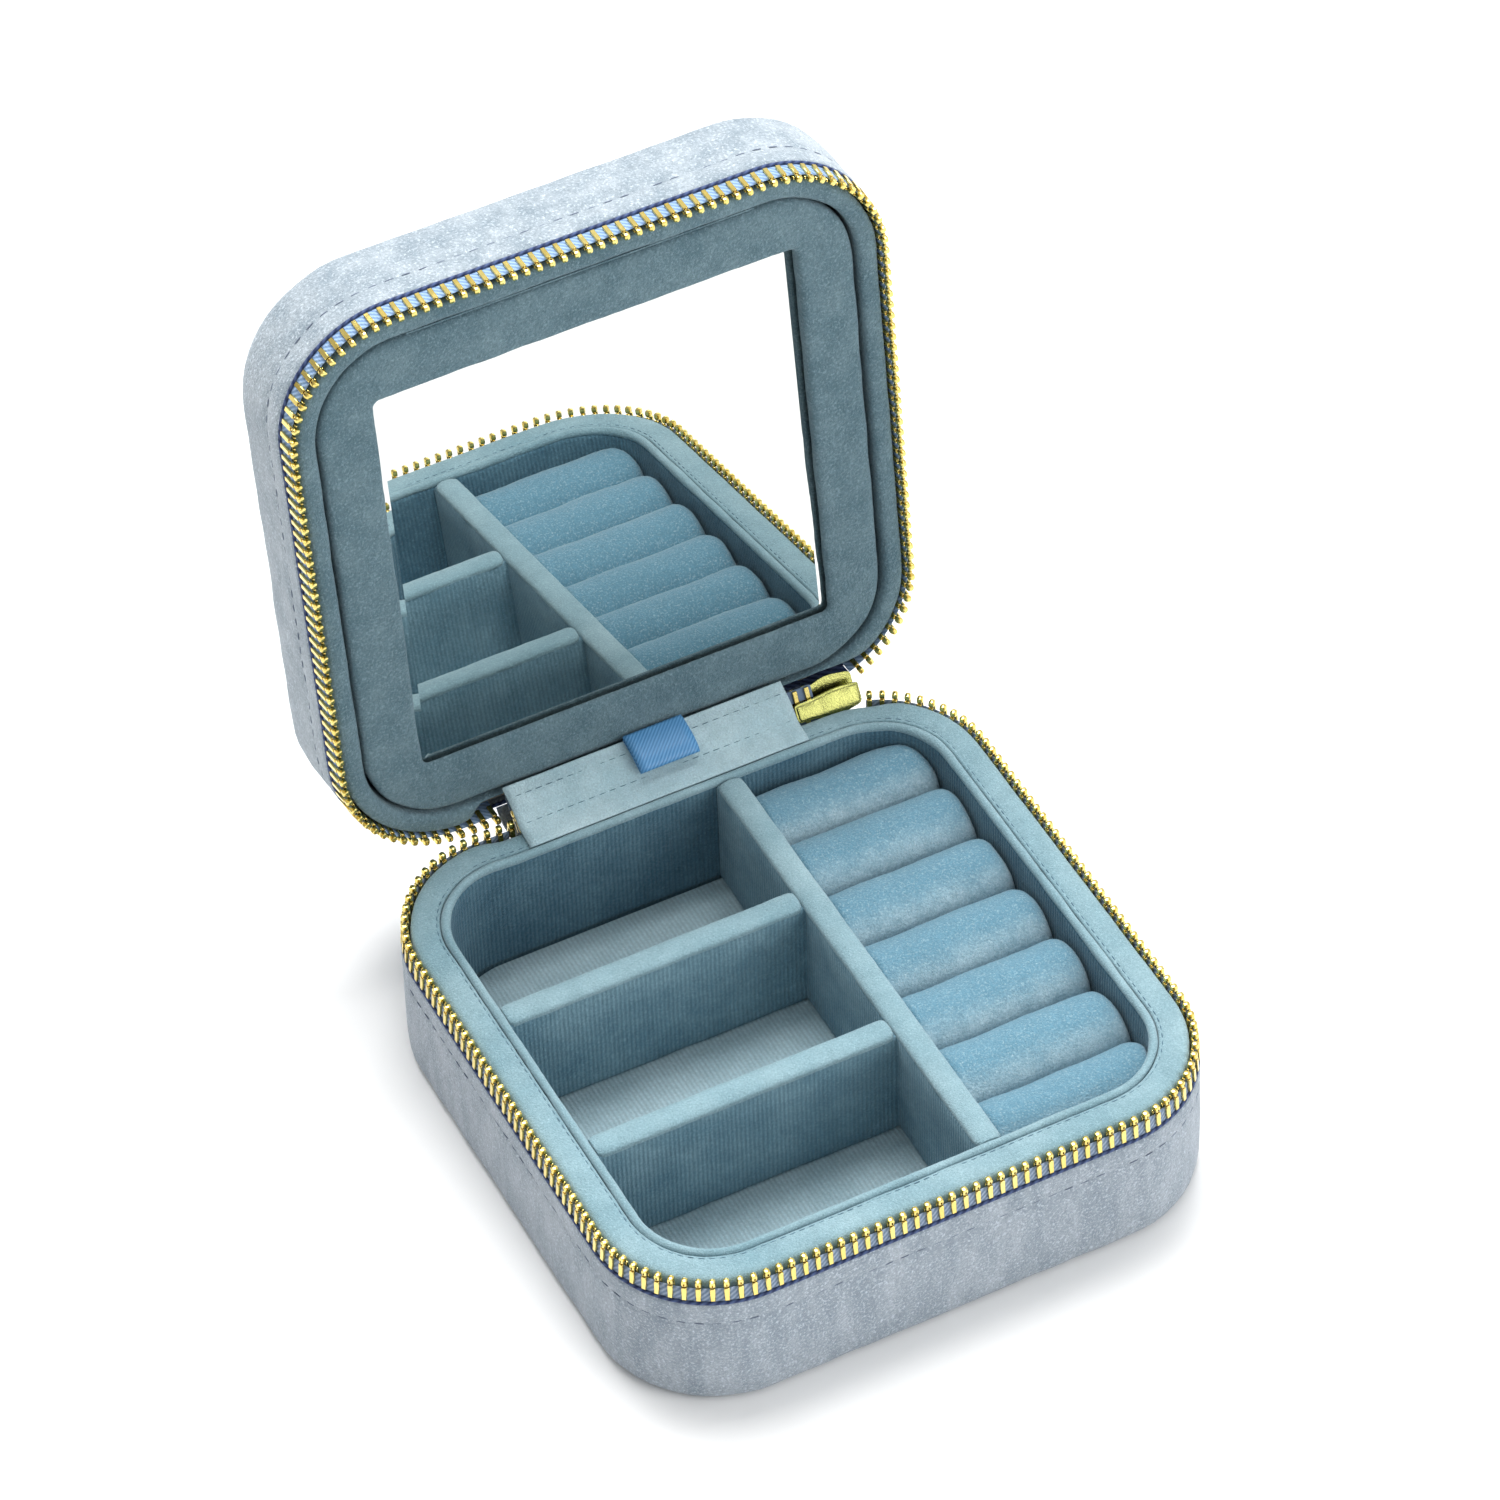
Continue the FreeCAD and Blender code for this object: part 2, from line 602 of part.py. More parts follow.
# ---- mirror panel ------------------------------------------------------------------------
PANEL_IN = LID_WELL_IN + PANEL_GAP
FRAME_FACE_Z = MEET_Z + PANEL_SINK
GLASS_Z = FRAME_FACE_Z + GLASS_SINK
BACK_Z = GLASS_Z + GLASS_T
PANEL_HINGE_Y = -(HALF_Y - PANEL_IN)


def mirror_frame():
    """Padded velvet frame with a rebate behind it for the glass."""
    frame = slab(outline(PANEL_IN, FRAME_FACE_Z), BACK_Z - FRAME_FACE_Z)
    window = slab(rounded_wire(WINDOW_HALF, WINDOW_HALF, WINDOW_R, FRAME_FACE_Z),
                  BACK_Z - FRAME_FACE_Z)
    seat_half = WINDOW_HALF + GLASS_GRIP + GLUE_GAP
    seat = slab(rounded_wire(seat_half, seat_half, WINDOW_R, GLASS_Z), GLASS_T)
    frame = frame.cut(window).cut(seat)
    return frame.makeFillet(0.8, [
        e for e in level_edges(frame, FRAME_FACE_Z)
        if max(abs(e.BoundBox.XMax), abs(e.BoundBox.XMin), abs(e.BoundBox.YMax),
               abs(e.BoundBox.YMin)) > WINDOW_HALF + 1
    ])


def mirror_glass():
    """Square mirror glass."""
    half = WINDOW_HALF + GLASS_GRIP
    return slab(rounded_wire(half, half, WINDOW_R, GLASS_Z), GLASS_T)


def backboard():
    """Board behind the glass, with a blind seat for the magnet."""
    board = slab(outline(PANEL_IN + 0.2, BACK_Z + GLUE_GAP), BACKBOARD_T)
    seat = Part.makeCylinder(MAGNET_R + GLUE_GAP, MAGNET_T + GLUE_GAP, magnet_place())
    return board.cut(seat)


def magnet_place():
    """Underside of the magnet, in the panel's margin next to the ribbon."""
    back = BACK_Z + GLUE_GAP + BACKBOARD_T
    return Vector(RIBBON_SHIFT, WINDOW_HALF + GLASS_GRIP + 0.5 - MAGNET_R, back - MAGNET_T)


def panel_magnet():
    """Disc magnet that holds the panel shut."""
    return Part.makeCylinder(MAGNET_R, MAGNET_T, magnet_place())


def keeper_post():
    """Steel-faced block on the lid's lining that the magnet meets."""
    place = magnet_place()
    low = place.z + MAGNET_T + GLUE_GAP
    return Part.makeCylinder(MAGNET_R, LINING_Z - LINING_T - GLUE_GAP - low,
                             Vector(place.x, place.y, low))


def lid_lining():
    """Velvet-covered sheet that lines the lid behind the mirror panel."""
    return slab(outline(LID_WELL_IN + GLUE_GAP, LINING_Z - LINING_T), LINING_T)


def panel_hinge_tape():
    """Cloth tape along the top edge, on which the mirror panel swings."""
    wall_y = -(HALF_Y - LID_WELL_IN)
    half = HINGE_TAPE_LENGTH / 2
    return box(-half, half, wall_y + 0.02, wall_y + 0.02 + HINGE_TAPE_T,
               FRAME_FACE_Z, BACK_Z + BACKBOARD_T)


def ribbon_tab():
    """Folded satin loop that pulls the mirror panel out."""
    edge_y = HALF_Y - PANEL_IN
    y, z = hinge_point(edge_y, FRAME_FACE_Z)
    half = RIBBON_W / 2
    path = [(y - 0.5, z + 0.55), (y - 2.6, z + 0.9), (y - 4.9, z + 0.5), (y - 6.6, z - 0.5)]
    points = [Vector(RIBBON_SHIFT - half, py, pz + RIBBON_T / 2) for py, pz in path]
    points += [Vector(RIBBON_SHIFT - half, py, pz - RIBBON_T / 2) for py, pz in reversed(path)]
    return prism(points, Vector(RIBBON_W, 0, 0))


# ---- nodes -------------------------------------------------------------------------------
def all_nodes():
    """Every node's name and shape, in its place at rest."""
    base = {
        "base_bottom_panel": bottom_panel(),
        "base_side_band": ring(0, VELVET_T, PANEL_T + GLUE_GAP, MEET_Z - BAND_TO_MEET),
        "base_shell_board": base_shell_board(),
        "base_liner_rim": base_liner_rim(),
        "tray_wall": tray_wall(),
        "tray_floor": tray_floor(),
        "divider_long": long_divider(),
        "divider_cross_front": cross_divider(1),
        "divider_cross_rear": cross_divider(2),
        "ring_bed": ring_bed(),
        "ring_roll_cores": roll_cores(),
        "base_zip_tape": zip_tape(),
        "base_zip_teeth": base_teeth(),
        "hinge_gusset": hinge_gusset(),
        "hinge_spine": hinge_spine(),
    }
    base.update({f"ring_roll_{n + 1}": roll_cover(n + 1) for n in range(ROLLS)})
    lid = {
        "lid_top_panel": top_panel(),
        "lid_side_band": ring(0, VELVET_T, MEET_Z + BAND_TO_MEET, CLOSED_Z - PANEL_T - GLUE_GAP),
        "lid_shell_board": lid_shell_board(),
        "lid_liner_rim": lid_liner_rim(),
        "lid_lining": lid_lining(),
        "lid_zip_tape": flipped(zip_tape()),
        "lid_zip_teeth": lid_teeth(by_hinge=False),
        "lid_zip_teeth_by_hinge": lid_teeth(by_hinge=True),
        "panel_hinge_tape": panel_hinge_tape(),
        "keeper_post": keeper_post(),
        "mirror_frame": mirror_frame(),
        "mirror_glass": mirror_glass(),
        "mirror_backboard": backboard(),
        "panel_magnet": panel_magnet(),
    }
    left_end = (GUSSET_LEFT + 0.4, GUSSET_LEFT + 6.0)
    right_end = (GUSSET_RIGHT - 6.0, WEDGE_X - SLIDER_TRAVEL - GLUE_GAP)
    zip_left = {
        "zip_chain_left": meshed_teeth(*left_end),
        "zip_end_tapes_left": end_tapes(*left_end),
        "zip_stop_box": stop_box(left_end[1] + 0.1),
    }
    zip_right = {
        "zip_chain_right": meshed_teeth(*right_end),
        "zip_end_tapes_right": end_tapes(*right_end),
        "slider_body": slider_body(),
    }
    nodes = dict(base)
    nodes.update({name: opened(shape, OPEN_DEG) for name, shape in lid.items()})
    nodes.update({name: opened(shape, OPEN_DEG / 2) for name, shape in zip_left.items()})
    tilt = OPEN_DEG * TILT_SHARE
    nodes.update({name: opened(shape, tilt) for name, shape in zip_right.items()})
    nodes.update({"pull_link": pull_link(), "pull_tab": pull_tab(), "ribbon_tab": ribbon_tab()})
    return nodes


os.makedirs("parts", exist_ok=True)
for node_name, node_shape in all_nodes().items():
    node_shape.exportStep(f"parts/{node_name}.step")
    print(f"{node_name}: {len(node_shape.Solids)} solid(s), {node_shape.Volume:.1f} mm3, "
          f"valid {node_shape.isValid()}")
bar_place = bar_at_rest()
foot_place = link_foot()
print(f"hinge line at y {HINGE_Y:.2f}, z {HINGE_Z:.2f}")
print(f"bridge bar at {bar_place.x:.3f}, {bar_place.y:.3f}, {bar_place.z:.3f}")
print(f"tab pivot at {foot_place.x:.3f}, {foot_place.y:.3f}, {foot_place.z:.3f}")
panel_axis = hinge_point(PANEL_HINGE_Y, FRAME_FACE_Z)
print(f"panel hinge at y {panel_axis[0]:.3f}, z {panel_axis[1]:.3f}")
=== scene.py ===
"""Looks of a square velvet travel jewelry case, standing open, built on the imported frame.

Every length below is in millimetres in the case's own frame, with the lid shut. The origin is
on the table under the middle of the base, +X runs along the hinge towards the zip slider and
-Y points to the side that opens. Pieces of the lid are turned open when they are finished.
"""
import logging
import math
from dataclasses import dataclass, field
from enum import Enum

import bmesh
import bpy
from mathutils import Matrix, Vector, noise


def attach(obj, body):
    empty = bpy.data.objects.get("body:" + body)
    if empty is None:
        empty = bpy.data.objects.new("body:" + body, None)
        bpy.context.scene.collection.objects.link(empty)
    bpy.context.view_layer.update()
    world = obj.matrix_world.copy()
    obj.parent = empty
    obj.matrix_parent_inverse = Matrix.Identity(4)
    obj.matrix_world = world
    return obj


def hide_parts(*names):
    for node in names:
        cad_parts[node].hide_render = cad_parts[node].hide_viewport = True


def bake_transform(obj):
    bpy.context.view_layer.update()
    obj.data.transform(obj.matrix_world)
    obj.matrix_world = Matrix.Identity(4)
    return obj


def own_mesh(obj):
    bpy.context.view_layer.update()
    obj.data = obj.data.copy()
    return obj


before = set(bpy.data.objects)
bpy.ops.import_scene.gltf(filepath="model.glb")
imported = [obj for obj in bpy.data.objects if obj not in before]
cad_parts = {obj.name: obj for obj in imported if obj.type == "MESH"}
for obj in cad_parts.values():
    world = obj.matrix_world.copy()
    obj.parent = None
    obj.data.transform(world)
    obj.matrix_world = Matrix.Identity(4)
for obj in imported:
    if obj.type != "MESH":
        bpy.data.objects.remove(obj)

LOG = logging.getLogger("jewelry_case")
MM = 0.001
HINGE = Vector((0.0, 49.67, 23.6))
MEET_Z = 25.3

Row = list[Vector]


class Place(Enum):
    """Where a piece belongs, as degrees that it turns about the hinge when the lid stands open."""

    BASE = 0.0
    RIGHT_END = 30.0
    LEFT_END = 48.0
    LID = 96.0

    def matrix(self) -> Matrix:
        """Transform from millimetres with the lid shut to metres with the lid open.

        Returns:
            The matrix.
        """
        turn = Matrix.Rotation(-math.radians(self.value), 4, "X")
        about = Matrix.Translation(HINGE) @ turn @ Matrix.Translation(-HINGE)
        return Matrix.Scale(MM, 4) @ about


class RibSource(Enum):
    """Which coordinate the ribs of a fabric run across."""

    NONE = "none"
    UV = "uv"
    OBJECT_X = "object x"


# ---- finishes ------------------------------------------------------------------------------
class Bench:
    """Builds one node material."""

    def __init__(self, name: str) -> None:
        """Start a material.

        Args:
            name: Name of the material.
        """
        self.material = bpy.data.materials.new(name)
        self.material.use_nodes = True
        self.tree = self.material.node_tree
        self.shader = self.tree.nodes["Principled BSDF"]
        self.coords = self.add("ShaderNodeTexCoord")

    def add(self, kind: str, values: dict | None = None, **settings: object) -> bpy.types.Node:
        """Add a node.

        Args:
            kind: Blender's name of the node type.
            values: Values of its input sockets, by name or number.
            settings: Properties of the node itself.

        Returns:
            The node.
        """
        node = self.tree.nodes.new(kind)
        for key, value in settings.items():
            setattr(node, key, value)
        for key, value in (values or {}).items():
            node.inputs[key].default_value = value
        return node

    def join(self, source: bpy.types.NodeSocket, target: bpy.types.NodeSocket) -> None:
        """Join an output socket to an input socket."""
        self.tree.links.new(source, target)

    def in_mm(self, uv: bool = False) -> bpy.types.NodeSocket:
        """Coordinates in millimetres.

        Args:
            uv: Take the piece's UV map, which is in millimetres already.

        Returns:
            The socket that gives them.
        """
        if uv:
            return self.coords.outputs["UV"]
        scaled = self.add("ShaderNodeMapping", {"Scale": (1000.0, 1000.0, 1000.0)})
        self.join(self.coords.outputs["Object"], scaled.inputs["Vector"])
        return scaled.outputs["Vector"]

    def cloud(self, at: bpy.types.NodeSocket, size: float, detail: float, low: float,
              high: float, rough: float = 0.55) -> bpy.types.NodeSocket:
        """Noise stretched to run from 0 to 1.

        Args:
            at: Coordinates.
            size: Size of its blots, in millimetres.
            detail: Octaves.
            low: Noise value that gives 0.
            high: Noise value that gives 1.
            rough: Weight of the finer octaves.

        Returns:
            The socket that gives it.
        """
        blots = self.add("ShaderNodeTexNoise",
                         {"Scale": 1.0 / size, "Detail": detail, "Roughness": rough})
        self.join(at, blots.inputs["Vector"])
        spread = self.add("ShaderNodeMapRange", {"From Min": low, "From Max": high})
        self.join(blots.outputs["Fac"], spread.inputs["Value"])
        return spread.outputs["Result"]

    def stripes(self, at: bpy.types.NodeSocket, pitch: float, direction: str = "X",
                wobble: float = 0.0) -> bpy.types.NodeSocket:
        """Even stripes.

        Args:
            at: Coordinates.
            pitch: Distance from stripe to stripe, in millimetres.
            direction: "X", "Y" or "DIAGONAL".
            wobble: How far the stripes wander.

        Returns:
            The socket that gives them.
        """
        wave = self.add("ShaderNodeTexWave",
                        {"Scale": math.pi / 10.0 / pitch, "Distortion": wobble, "Detail": 1.0,
                         "Detail Scale": 0.6},
                        wave_type="BANDS", bands_direction=direction)
        self.join(at, wave.inputs["Vector"])
        return wave.outputs["Fac"]

    def blend_colour(self, factor: bpy.types.NodeSocket | float, first: object,
                     second: object, kind: str = "MIX") -> bpy.types.NodeSocket:
        """Mix two colours.

        Args:
            factor: Share of the second, as a socket or a number.
            first: Colour or socket.
            second: Colour or socket.
            kind: Blend type.

        Returns:
            The mixed colour.
        """
        mix = self.add("ShaderNodeMix", data_type="RGBA", blend_type=kind)
        for socket, value in ((mix.inputs[0], factor), (mix.inputs[6], first),
                              (mix.inputs[7], second)):
            if isinstance(value, bpy.types.NodeSocket):
                self.join(value, socket)
            elif isinstance(value, float):
                socket.default_value = value
            else:
                socket.default_value = (*value, 1.0)
        return mix.outputs[2]

    def relief(self, height: bpy.types.NodeSocket, depth: float, strength: float,
               under: bpy.types.NodeSocket | None = None) -> bpy.types.NodeSocket:
        """Bump.

        Args:
            height: Height from 0 to 1.
            depth: Depth in millimetres.
            strength: Strength from 0 to 1.
            under: Normal that this one builds on.

        Returns:
            The normal.
        """
        bump = self.add("ShaderNodeBump", {"Strength": strength, "Distance": depth * MM})
        self.join(height, bump.inputs["Height"])
        if under is not None:
            self.join(under, bump.inputs["Normal"])
        return bump.outputs["Normal"]

    def finish(self, colour: bpy.types.NodeSocket, normal: bpy.types.NodeSocket | None,
               constants: dict[str, object]) -> bpy.types.Material:
        """Connect the shader.

        Args:
            colour: Base colour.
            normal: Normal, if there is a bump.
            constants: Numbers and colours that are the same all over.

        Returns:
            The finished material.
        """
        self.join(colour, self.shader.inputs["Base Color"])
        if normal is not None:
            self.join(normal, self.shader.inputs["Normal"])
        for key, value in constants.items():
            self.shader.inputs[key].default_value = value
        return self.material


@dataclass(frozen=True)
class Velvet:
    """Short-pile velvet or suede, whose nap is brushed in patches, with painted shade in the pile
    and the rib grooves, painted highlights on the pile's tips and, on rolls, a painted sheen on one
    flank.
    """

    name: str
    deep: tuple[float, float, float]
    pale: tuple[float, float, float]
    patch: float = 14.0
    pile: float = 0.42
    # Strength of the painted highlights on the pile's tips.
    tip_glint: float = 0.35
    sheen: float = 0.45
    pile_depth: float = 0.12
    ribs: RibSource = RibSource.NONE
    rib_pitch: float = 0.72
    rib_depth: float = 0.10
    flank_sheen_from: float = 0.0
    flank_sheen_to: float = 0.0
    drawn: float = 1.0

    def build(self) -> bpy.types.Material:
        """Make the material.

        Returns:
            The material.
        """
        bench = Bench(self.name)
        at = bench.in_mm()
        brushed = bench.add("ShaderNodeMapping", {"Scale": (1.0, 1.0, self.drawn)})
        bench.join(at, brushed.inputs["Vector"])
        nap = bench.cloud(brushed.outputs["Vector"], self.patch, 3.0, 0.34, 0.66)
        # Painted sheen: where a flank range is given, one flank of the piece is painted pale and
        # the other deep.
        if self.flank_sheen_to > self.flank_sheen_from:
            nap = self.brushed(bench, nap)
        colour = bench.blend_colour(nap, self.deep, self.pale)
        streak = bench.cloud(brushed.outputs["Vector"], self.patch * 0.2, 4.0, 0.35, 0.75)
        colour = bench.blend_colour(self.share(bench, streak, 0.0, 0.4), colour,
                                    tuple(c * 0.72 for c in self.deep))
        fibre = bench.cloud(at, self.pile, 3.0, 0.3, 0.7, 0.75)
        glint_tips = bench.cloud(at, self.pile * 0.8, 2.0, 0.52, 0.78, 0.6)
        hollow_shade = tuple(c * 0.5 for c in self.deep)
        painted_glint = tuple(min(1.0, c * 1.45 + 0.06) for c in self.pale)
        # Painted shade: the pile is darker where its fibres sink.
        colour = bench.blend_colour(self.share(bench, fibre, 0.45, 0.0), colour, hollow_shade)
        # Painted highlights: specks where the pile's tips catch the light.
        colour = bench.blend_colour(self.share(bench, glint_tips, 0.0, self.tip_glint), colour, painted_glint)
        normal = bench.relief(fibre, self.pile_depth, 1.0)
        if self.ribs is not RibSource.NONE:
            across = bench.in_mm(uv=self.ribs is RibSource.UV)
            ribs = bench.stripes(across, self.rib_pitch, wobble=0.8)
            # Painted shade: darker in the rib grooves.
            colour = bench.blend_colour(self.share(bench, ribs, 0.34, 0.0), colour, hollow_shade)
            normal = bench.relief(ribs, self.rib_depth, 0.8, normal)
        tint = (*(0.5 + 0.5 * c for c in self.pale), 1.0)
        return bench.finish(colour, normal, {
            "Roughness": 0.92, "Specular IOR Level": 0.15, "Sheen Weight": self.sheen,
            "Sheen Roughness": 0.4, "Sheen Tint": tint})

    @staticmethod
    def share(bench: Bench, source: bpy.types.NodeSocket, low: float,
              high: float) -> bpy.types.NodeSocket:
        """Turn a pattern into a mixing share.

        Args:
            bench: The material.
            source: Pattern from 0 to 1.
            low: Share where the pattern is 0.
            high: Share where the pattern is 1.

        Returns:
            The share.
        """
        spread = bench.add("ShaderNodeMapRange", {"To Min": low, "To Max": high})
        bench.join(source, spread.inputs["Value"])
        return spread.outputs["Result"]

    def brushed(self, bench: Bench, patches: bpy.types.NodeSocket) -> bpy.types.NodeSocket:
        """Painted sheen: the nap is painted pale on one flank of a roll and deep on the other,
        standing in for light that the pile catches on the front flank.

        Args:
            bench: The material.
            patches: The uneven nap, from 0 to 1.

        Returns:
            The nap with its painted flank sheen, from 0 for deep to 1 for pale.
        """
        around = bench.add("ShaderNodeSeparateXYZ")
        bench.join(bench.in_mm(uv=True), around.inputs[0])
        ragged = bench.add("ShaderNodeMath", {1: 1.5, 2: -0.75}, operation="MULTIPLY_ADD")
        bench.join(patches, ragged.inputs[0])
        moved = bench.add("ShaderNodeMath", operation="ADD")
        bench.join(around.outputs["X"], moved.inputs[0])
        bench.join(ragged.outputs[0], moved.inputs[1])
        turn = bench.add("ShaderNodeMapRange", {
            "From Min": self.flank_sheen_from, "From Max": self.flank_sheen_to, "To Min": 1.0, "To Max": 0.0},
            interpolation_type="SMOOTHSTEP")
        bench.join(moved.outputs[0], turn.inputs["Value"])
        return turn.outputs["Result"]


@dataclass(frozen=True)
class Twill:
    """Woven tape or ribbon with a diagonal weave that follows its length."""

    name: str
    deep: tuple[float, float, float]
    pale: tuple[float, float, float]
    pitch: float = 0.5
    depth: float = 0.08
    roughness: float = 0.7
    sheen: float = 0.2
    stretch: tuple[float, float, float] = (1.0, 1.0, 1.0)

    def build(self) -> bpy.types.Material:
        """Make the material.

        Returns:
            The material.
        """
        bench = Bench(self.name)
        turned = bench.add("ShaderNodeMapping", {"Scale": self.stretch})
        bench.join(bench.in_mm(uv=True), turned.inputs["Vector"])
        weave = bench.stripes(turned.outputs["Vector"], self.pitch, "DIAGONAL", 0.25)
        warp = bench.stripes(turned.outputs["Vector"], self.pitch * 0.8, "X", 0.2)
        colour = bench.blend_colour(weave, self.deep, self.pale)
        worn = bench.cloud(bench.in_mm(), 2.4, 3.0, 0.3, 0.7)
        tone = bench.add("ShaderNodeMath", {1: 0.25}, operation="MULTIPLY")
        bench.join(worn, tone.inputs[0])
        colour = bench.blend_colour(tone.outputs[0], colour, self.deep)
        normal = bench.relief(warp, self.depth * 0.5, 0.6)
        normal = bench.relief(weave, self.depth, 0.9, normal)
        return bench.finish(colour, normal, {
            "Roughness": self.roughness, "Specular IOR Level": 0.4,
            "Sheen Weight": self.sheen, "Sheen Roughness": 0.35})


@dataclass(frozen=True)
class Plated:
    """Plated metal with faint handling marks."""

    name: str
    colour: tuple[float, float, float]
    shadow: tuple[float, float, float]
    roughness: float = 0.2
    grain: float = 0.8
    mark_depth: float = 0.01

    def build(self) -> bpy.types.Material:
        """Make the material.

        Returns:
            The material.
        """
        bench = Bench(self.name)
        at = bench.in_mm()
        tarnish = bench.cloud(at, 6.0, 3.0, 0.35, 0.75)
        marks = bench.cloud(at, self.grain, 4.0, 0.3, 0.7, 0.6)
        colour = bench.blend_colour(tarnish, self.colour, self.shadow)
        gloss = bench.add("ShaderNodeMapRange", {
            "To Min": self.roughness * 0.8, "To Max": self.roughness * 1.35})
        bench.join(marks, gloss.inputs["Value"])
        bench.join(gloss.outputs["Result"], bench.shader.inputs["Roughness"])
        return bench.finish(colour, bench.relief(marks, self.mark_depth, 0.5), {"Metallic": 1.0})


@dataclass(frozen=True)
class Silvered:
    """Mirror glass."""

    name: str
    colour: tuple[float, float, float] = (0.68, 0.695, 0.685)

    def build(self) -> bpy.types.Material:
        """Make the material.

        Returns:
            The material.
        """
        bench = Bench(self.name)
        haze = bench.cloud(bench.in_mm(), 30.0, 2.0, 0.3, 0.7)
        colour = bench.blend_colour(haze, self.colour, tuple(c * 0.985 for c in self.colour))
        return bench.finish(colour, None, {"Metallic": 1.0, "Roughness": 0.004})


@dataclass(frozen=True)
class Pulp:
    """Grey fibre board, foam or bare floor: matt, with specks."""

    name: str
    colour: tuple[float, float, float]
    speck: tuple[float, float, float]
    size: float = 0.8
    depth: float = 0.05

    def build(self) -> bpy.types.Material:
        """Make the material.

        Returns:
            The material.
        """
        bench = Bench(self.name)
        specks = bench.cloud(bench.in_mm(), self.size, 4.0, 0.45, 0.75)
        colour = bench.blend_colour(specks, self.colour, self.speck)
        return bench.finish(colour, bench.relief(specks, self.depth, 0.5),
                            {"Roughness": 0.9, "Specular IOR Level": 0.2})


class Finishes:
    """Every finish on the case, made once."""

    def __init__(self) -> None:
        """Make the materials."""
        self.outer = Velvet("outer_velvet", (0.265, 0.32, 0.375), (0.41, 0.46, 0.515),
                            patch=3.2, pile=0.5, tip_glint=0.75, sheen=0.6, drawn=0.3).build()
        # Painted light: a paler copy of the outer velvet for the lid, whose top faces up into the
        # overhead light when it stands open.
        self.lid_velvet_lit_copy = Velvet("lid_outer_velvet_painted_light", (0.285, 0.35, 0.405), (0.475, 0.535, 0.585),
                                patch=4.5, pile=0.5, tip_glint=0.75, sheen=0.65,
                                drawn=0.6).build()
        self.rim = Velvet("rim_suede", (0.23, 0.385, 0.445), (0.365, 0.53, 0.585),
                          patch=16.0, pile=0.32).build()
        # Painted light: a paler copy of the rim's suede for the hinge gusset.
        self.gusset = Velvet("gusset_suede_painted_light", (0.40, 0.59, 0.66), (0.55, 0.73, 0.79),
                             patch=12.0, pile=0.32).build()
        # Painted shade: a darker copy of the liner's ribbed velvet for the tray wall, which stands
        # in shade.
        self.wall = Velvet("ribbed_wall_velvet_painted_shade", (0.075, 0.175, 0.245), (0.15, 0.285, 0.36),
                           patch=8.0, ribs=RibSource.UV, sheen=0.3).build()
        self.divider = Velvet("ribbed_divider_velvet", (0.15, 0.29, 0.37),
                              (0.27, 0.44, 0.52), patch=8.0, ribs=RibSource.UV,
                              sheen=0.3).build()
        # Painted light: a paler copy of the liner's ribbed velvet for the floor, which faces up
        # into the light.
        self.floor = Velvet("ribbed_floor_velvet_painted_light", (0.45, 0.64, 0.71), (0.58, 0.76, 0.82),
                            ribs=RibSource.OBJECT_X, rib_depth=0.05, patch=20.0).build()
        # Painted sheen: the pale colour goes on the front flank of each roll and the deep on the
        # back.
        self.roll = Velvet("roll_velvet", (0.145, 0.31, 0.41), (0.56, 0.72, 0.78),
                           patch=4.0, pile=0.38, tip_glint=0.28, sheen=0.35, flank_sheen_from=8.0,
                           flank_sheen_to=16.0).build()
        # Painted shade: a darker copy of the liner's suede for the mirror frame and the lid's
        # lining, which face away from the overhead light.
        self.frame = Velvet("mirror_suede", (0.11, 0.19, 0.23), (0.18, 0.275, 0.315),
                            patch=6.0, pile=0.5, tip_glint=0.5, sheen=0.3,
                            pile_depth=0.18).build()
        self.tape = Twill("zip_tape", (0.13, 0.19, 0.29), (0.31, 0.39, 0.52), pitch=0.5).build()
        self.lid_tape = Twill("lid_zip_tape", (0.16, 0.27, 0.47), (0.36, 0.52, 0.78),
                              pitch=0.5).build()
        # Near-black navy: partly the piping's own colour, partly painted shade of the crease
        # between tape and velvet.
        self.piping = Twill("navy_piping_painted_shade", (0.012, 0.025, 0.085), (0.07, 0.11, 0.25),
                            pitch=0.7).build()
        self.ribbon = Twill("satin_ribbon", (0.05, 0.19, 0.40), (0.13, 0.34, 0.60), pitch=0.34,
                            depth=0.03, roughness=0.3, sheen=0.0).build()
        self.thread = Twill("sewing_thread", (0.06, 0.13, 0.18), (0.12, 0.22, 0.29),
                            pitch=0.2).build()
        self.outer_thread = Twill("outer_thread", (0.13, 0.16, 0.22), (0.24, 0.28, 0.36),
                                  pitch=0.2).build()
        self.gold = Plated("polished_gold", (0.84, 0.69, 0.24), (0.70, 0.52, 0.13), 0.16).build()
        self.satin_gold = Plated("satin_gold", (0.36, 0.36, 0.12), (0.25, 0.26, 0.08), 0.18,
                                 0.3, 0.03).build()
        self.steel = Plated("bare_steel", (0.6, 0.6, 0.62), (0.45, 0.45, 0.47), 0.35).build()
        self.nickel = Plated("nickel_plate", (0.72, 0.71, 0.68), (0.6, 0.58, 0.55), 0.15).build()
        self.mirror = Silvered("mirror_glass").build()
        self.board = Pulp("fibre_board", (0.42, 0.40, 0.36), (0.3, 0.28, 0.25)).build()
        self.table = Pulp("pale_table", (0.9, 0.9, 0.895), (0.87, 0.87, 0.865), 40.0, 0.0).build()


# ---- making shapes -------------------------------------------------------------------------
@dataclass(frozen=True)
class Station:
    """One place on an outline."""

    point: Vector
    outward: Vector
    along: float


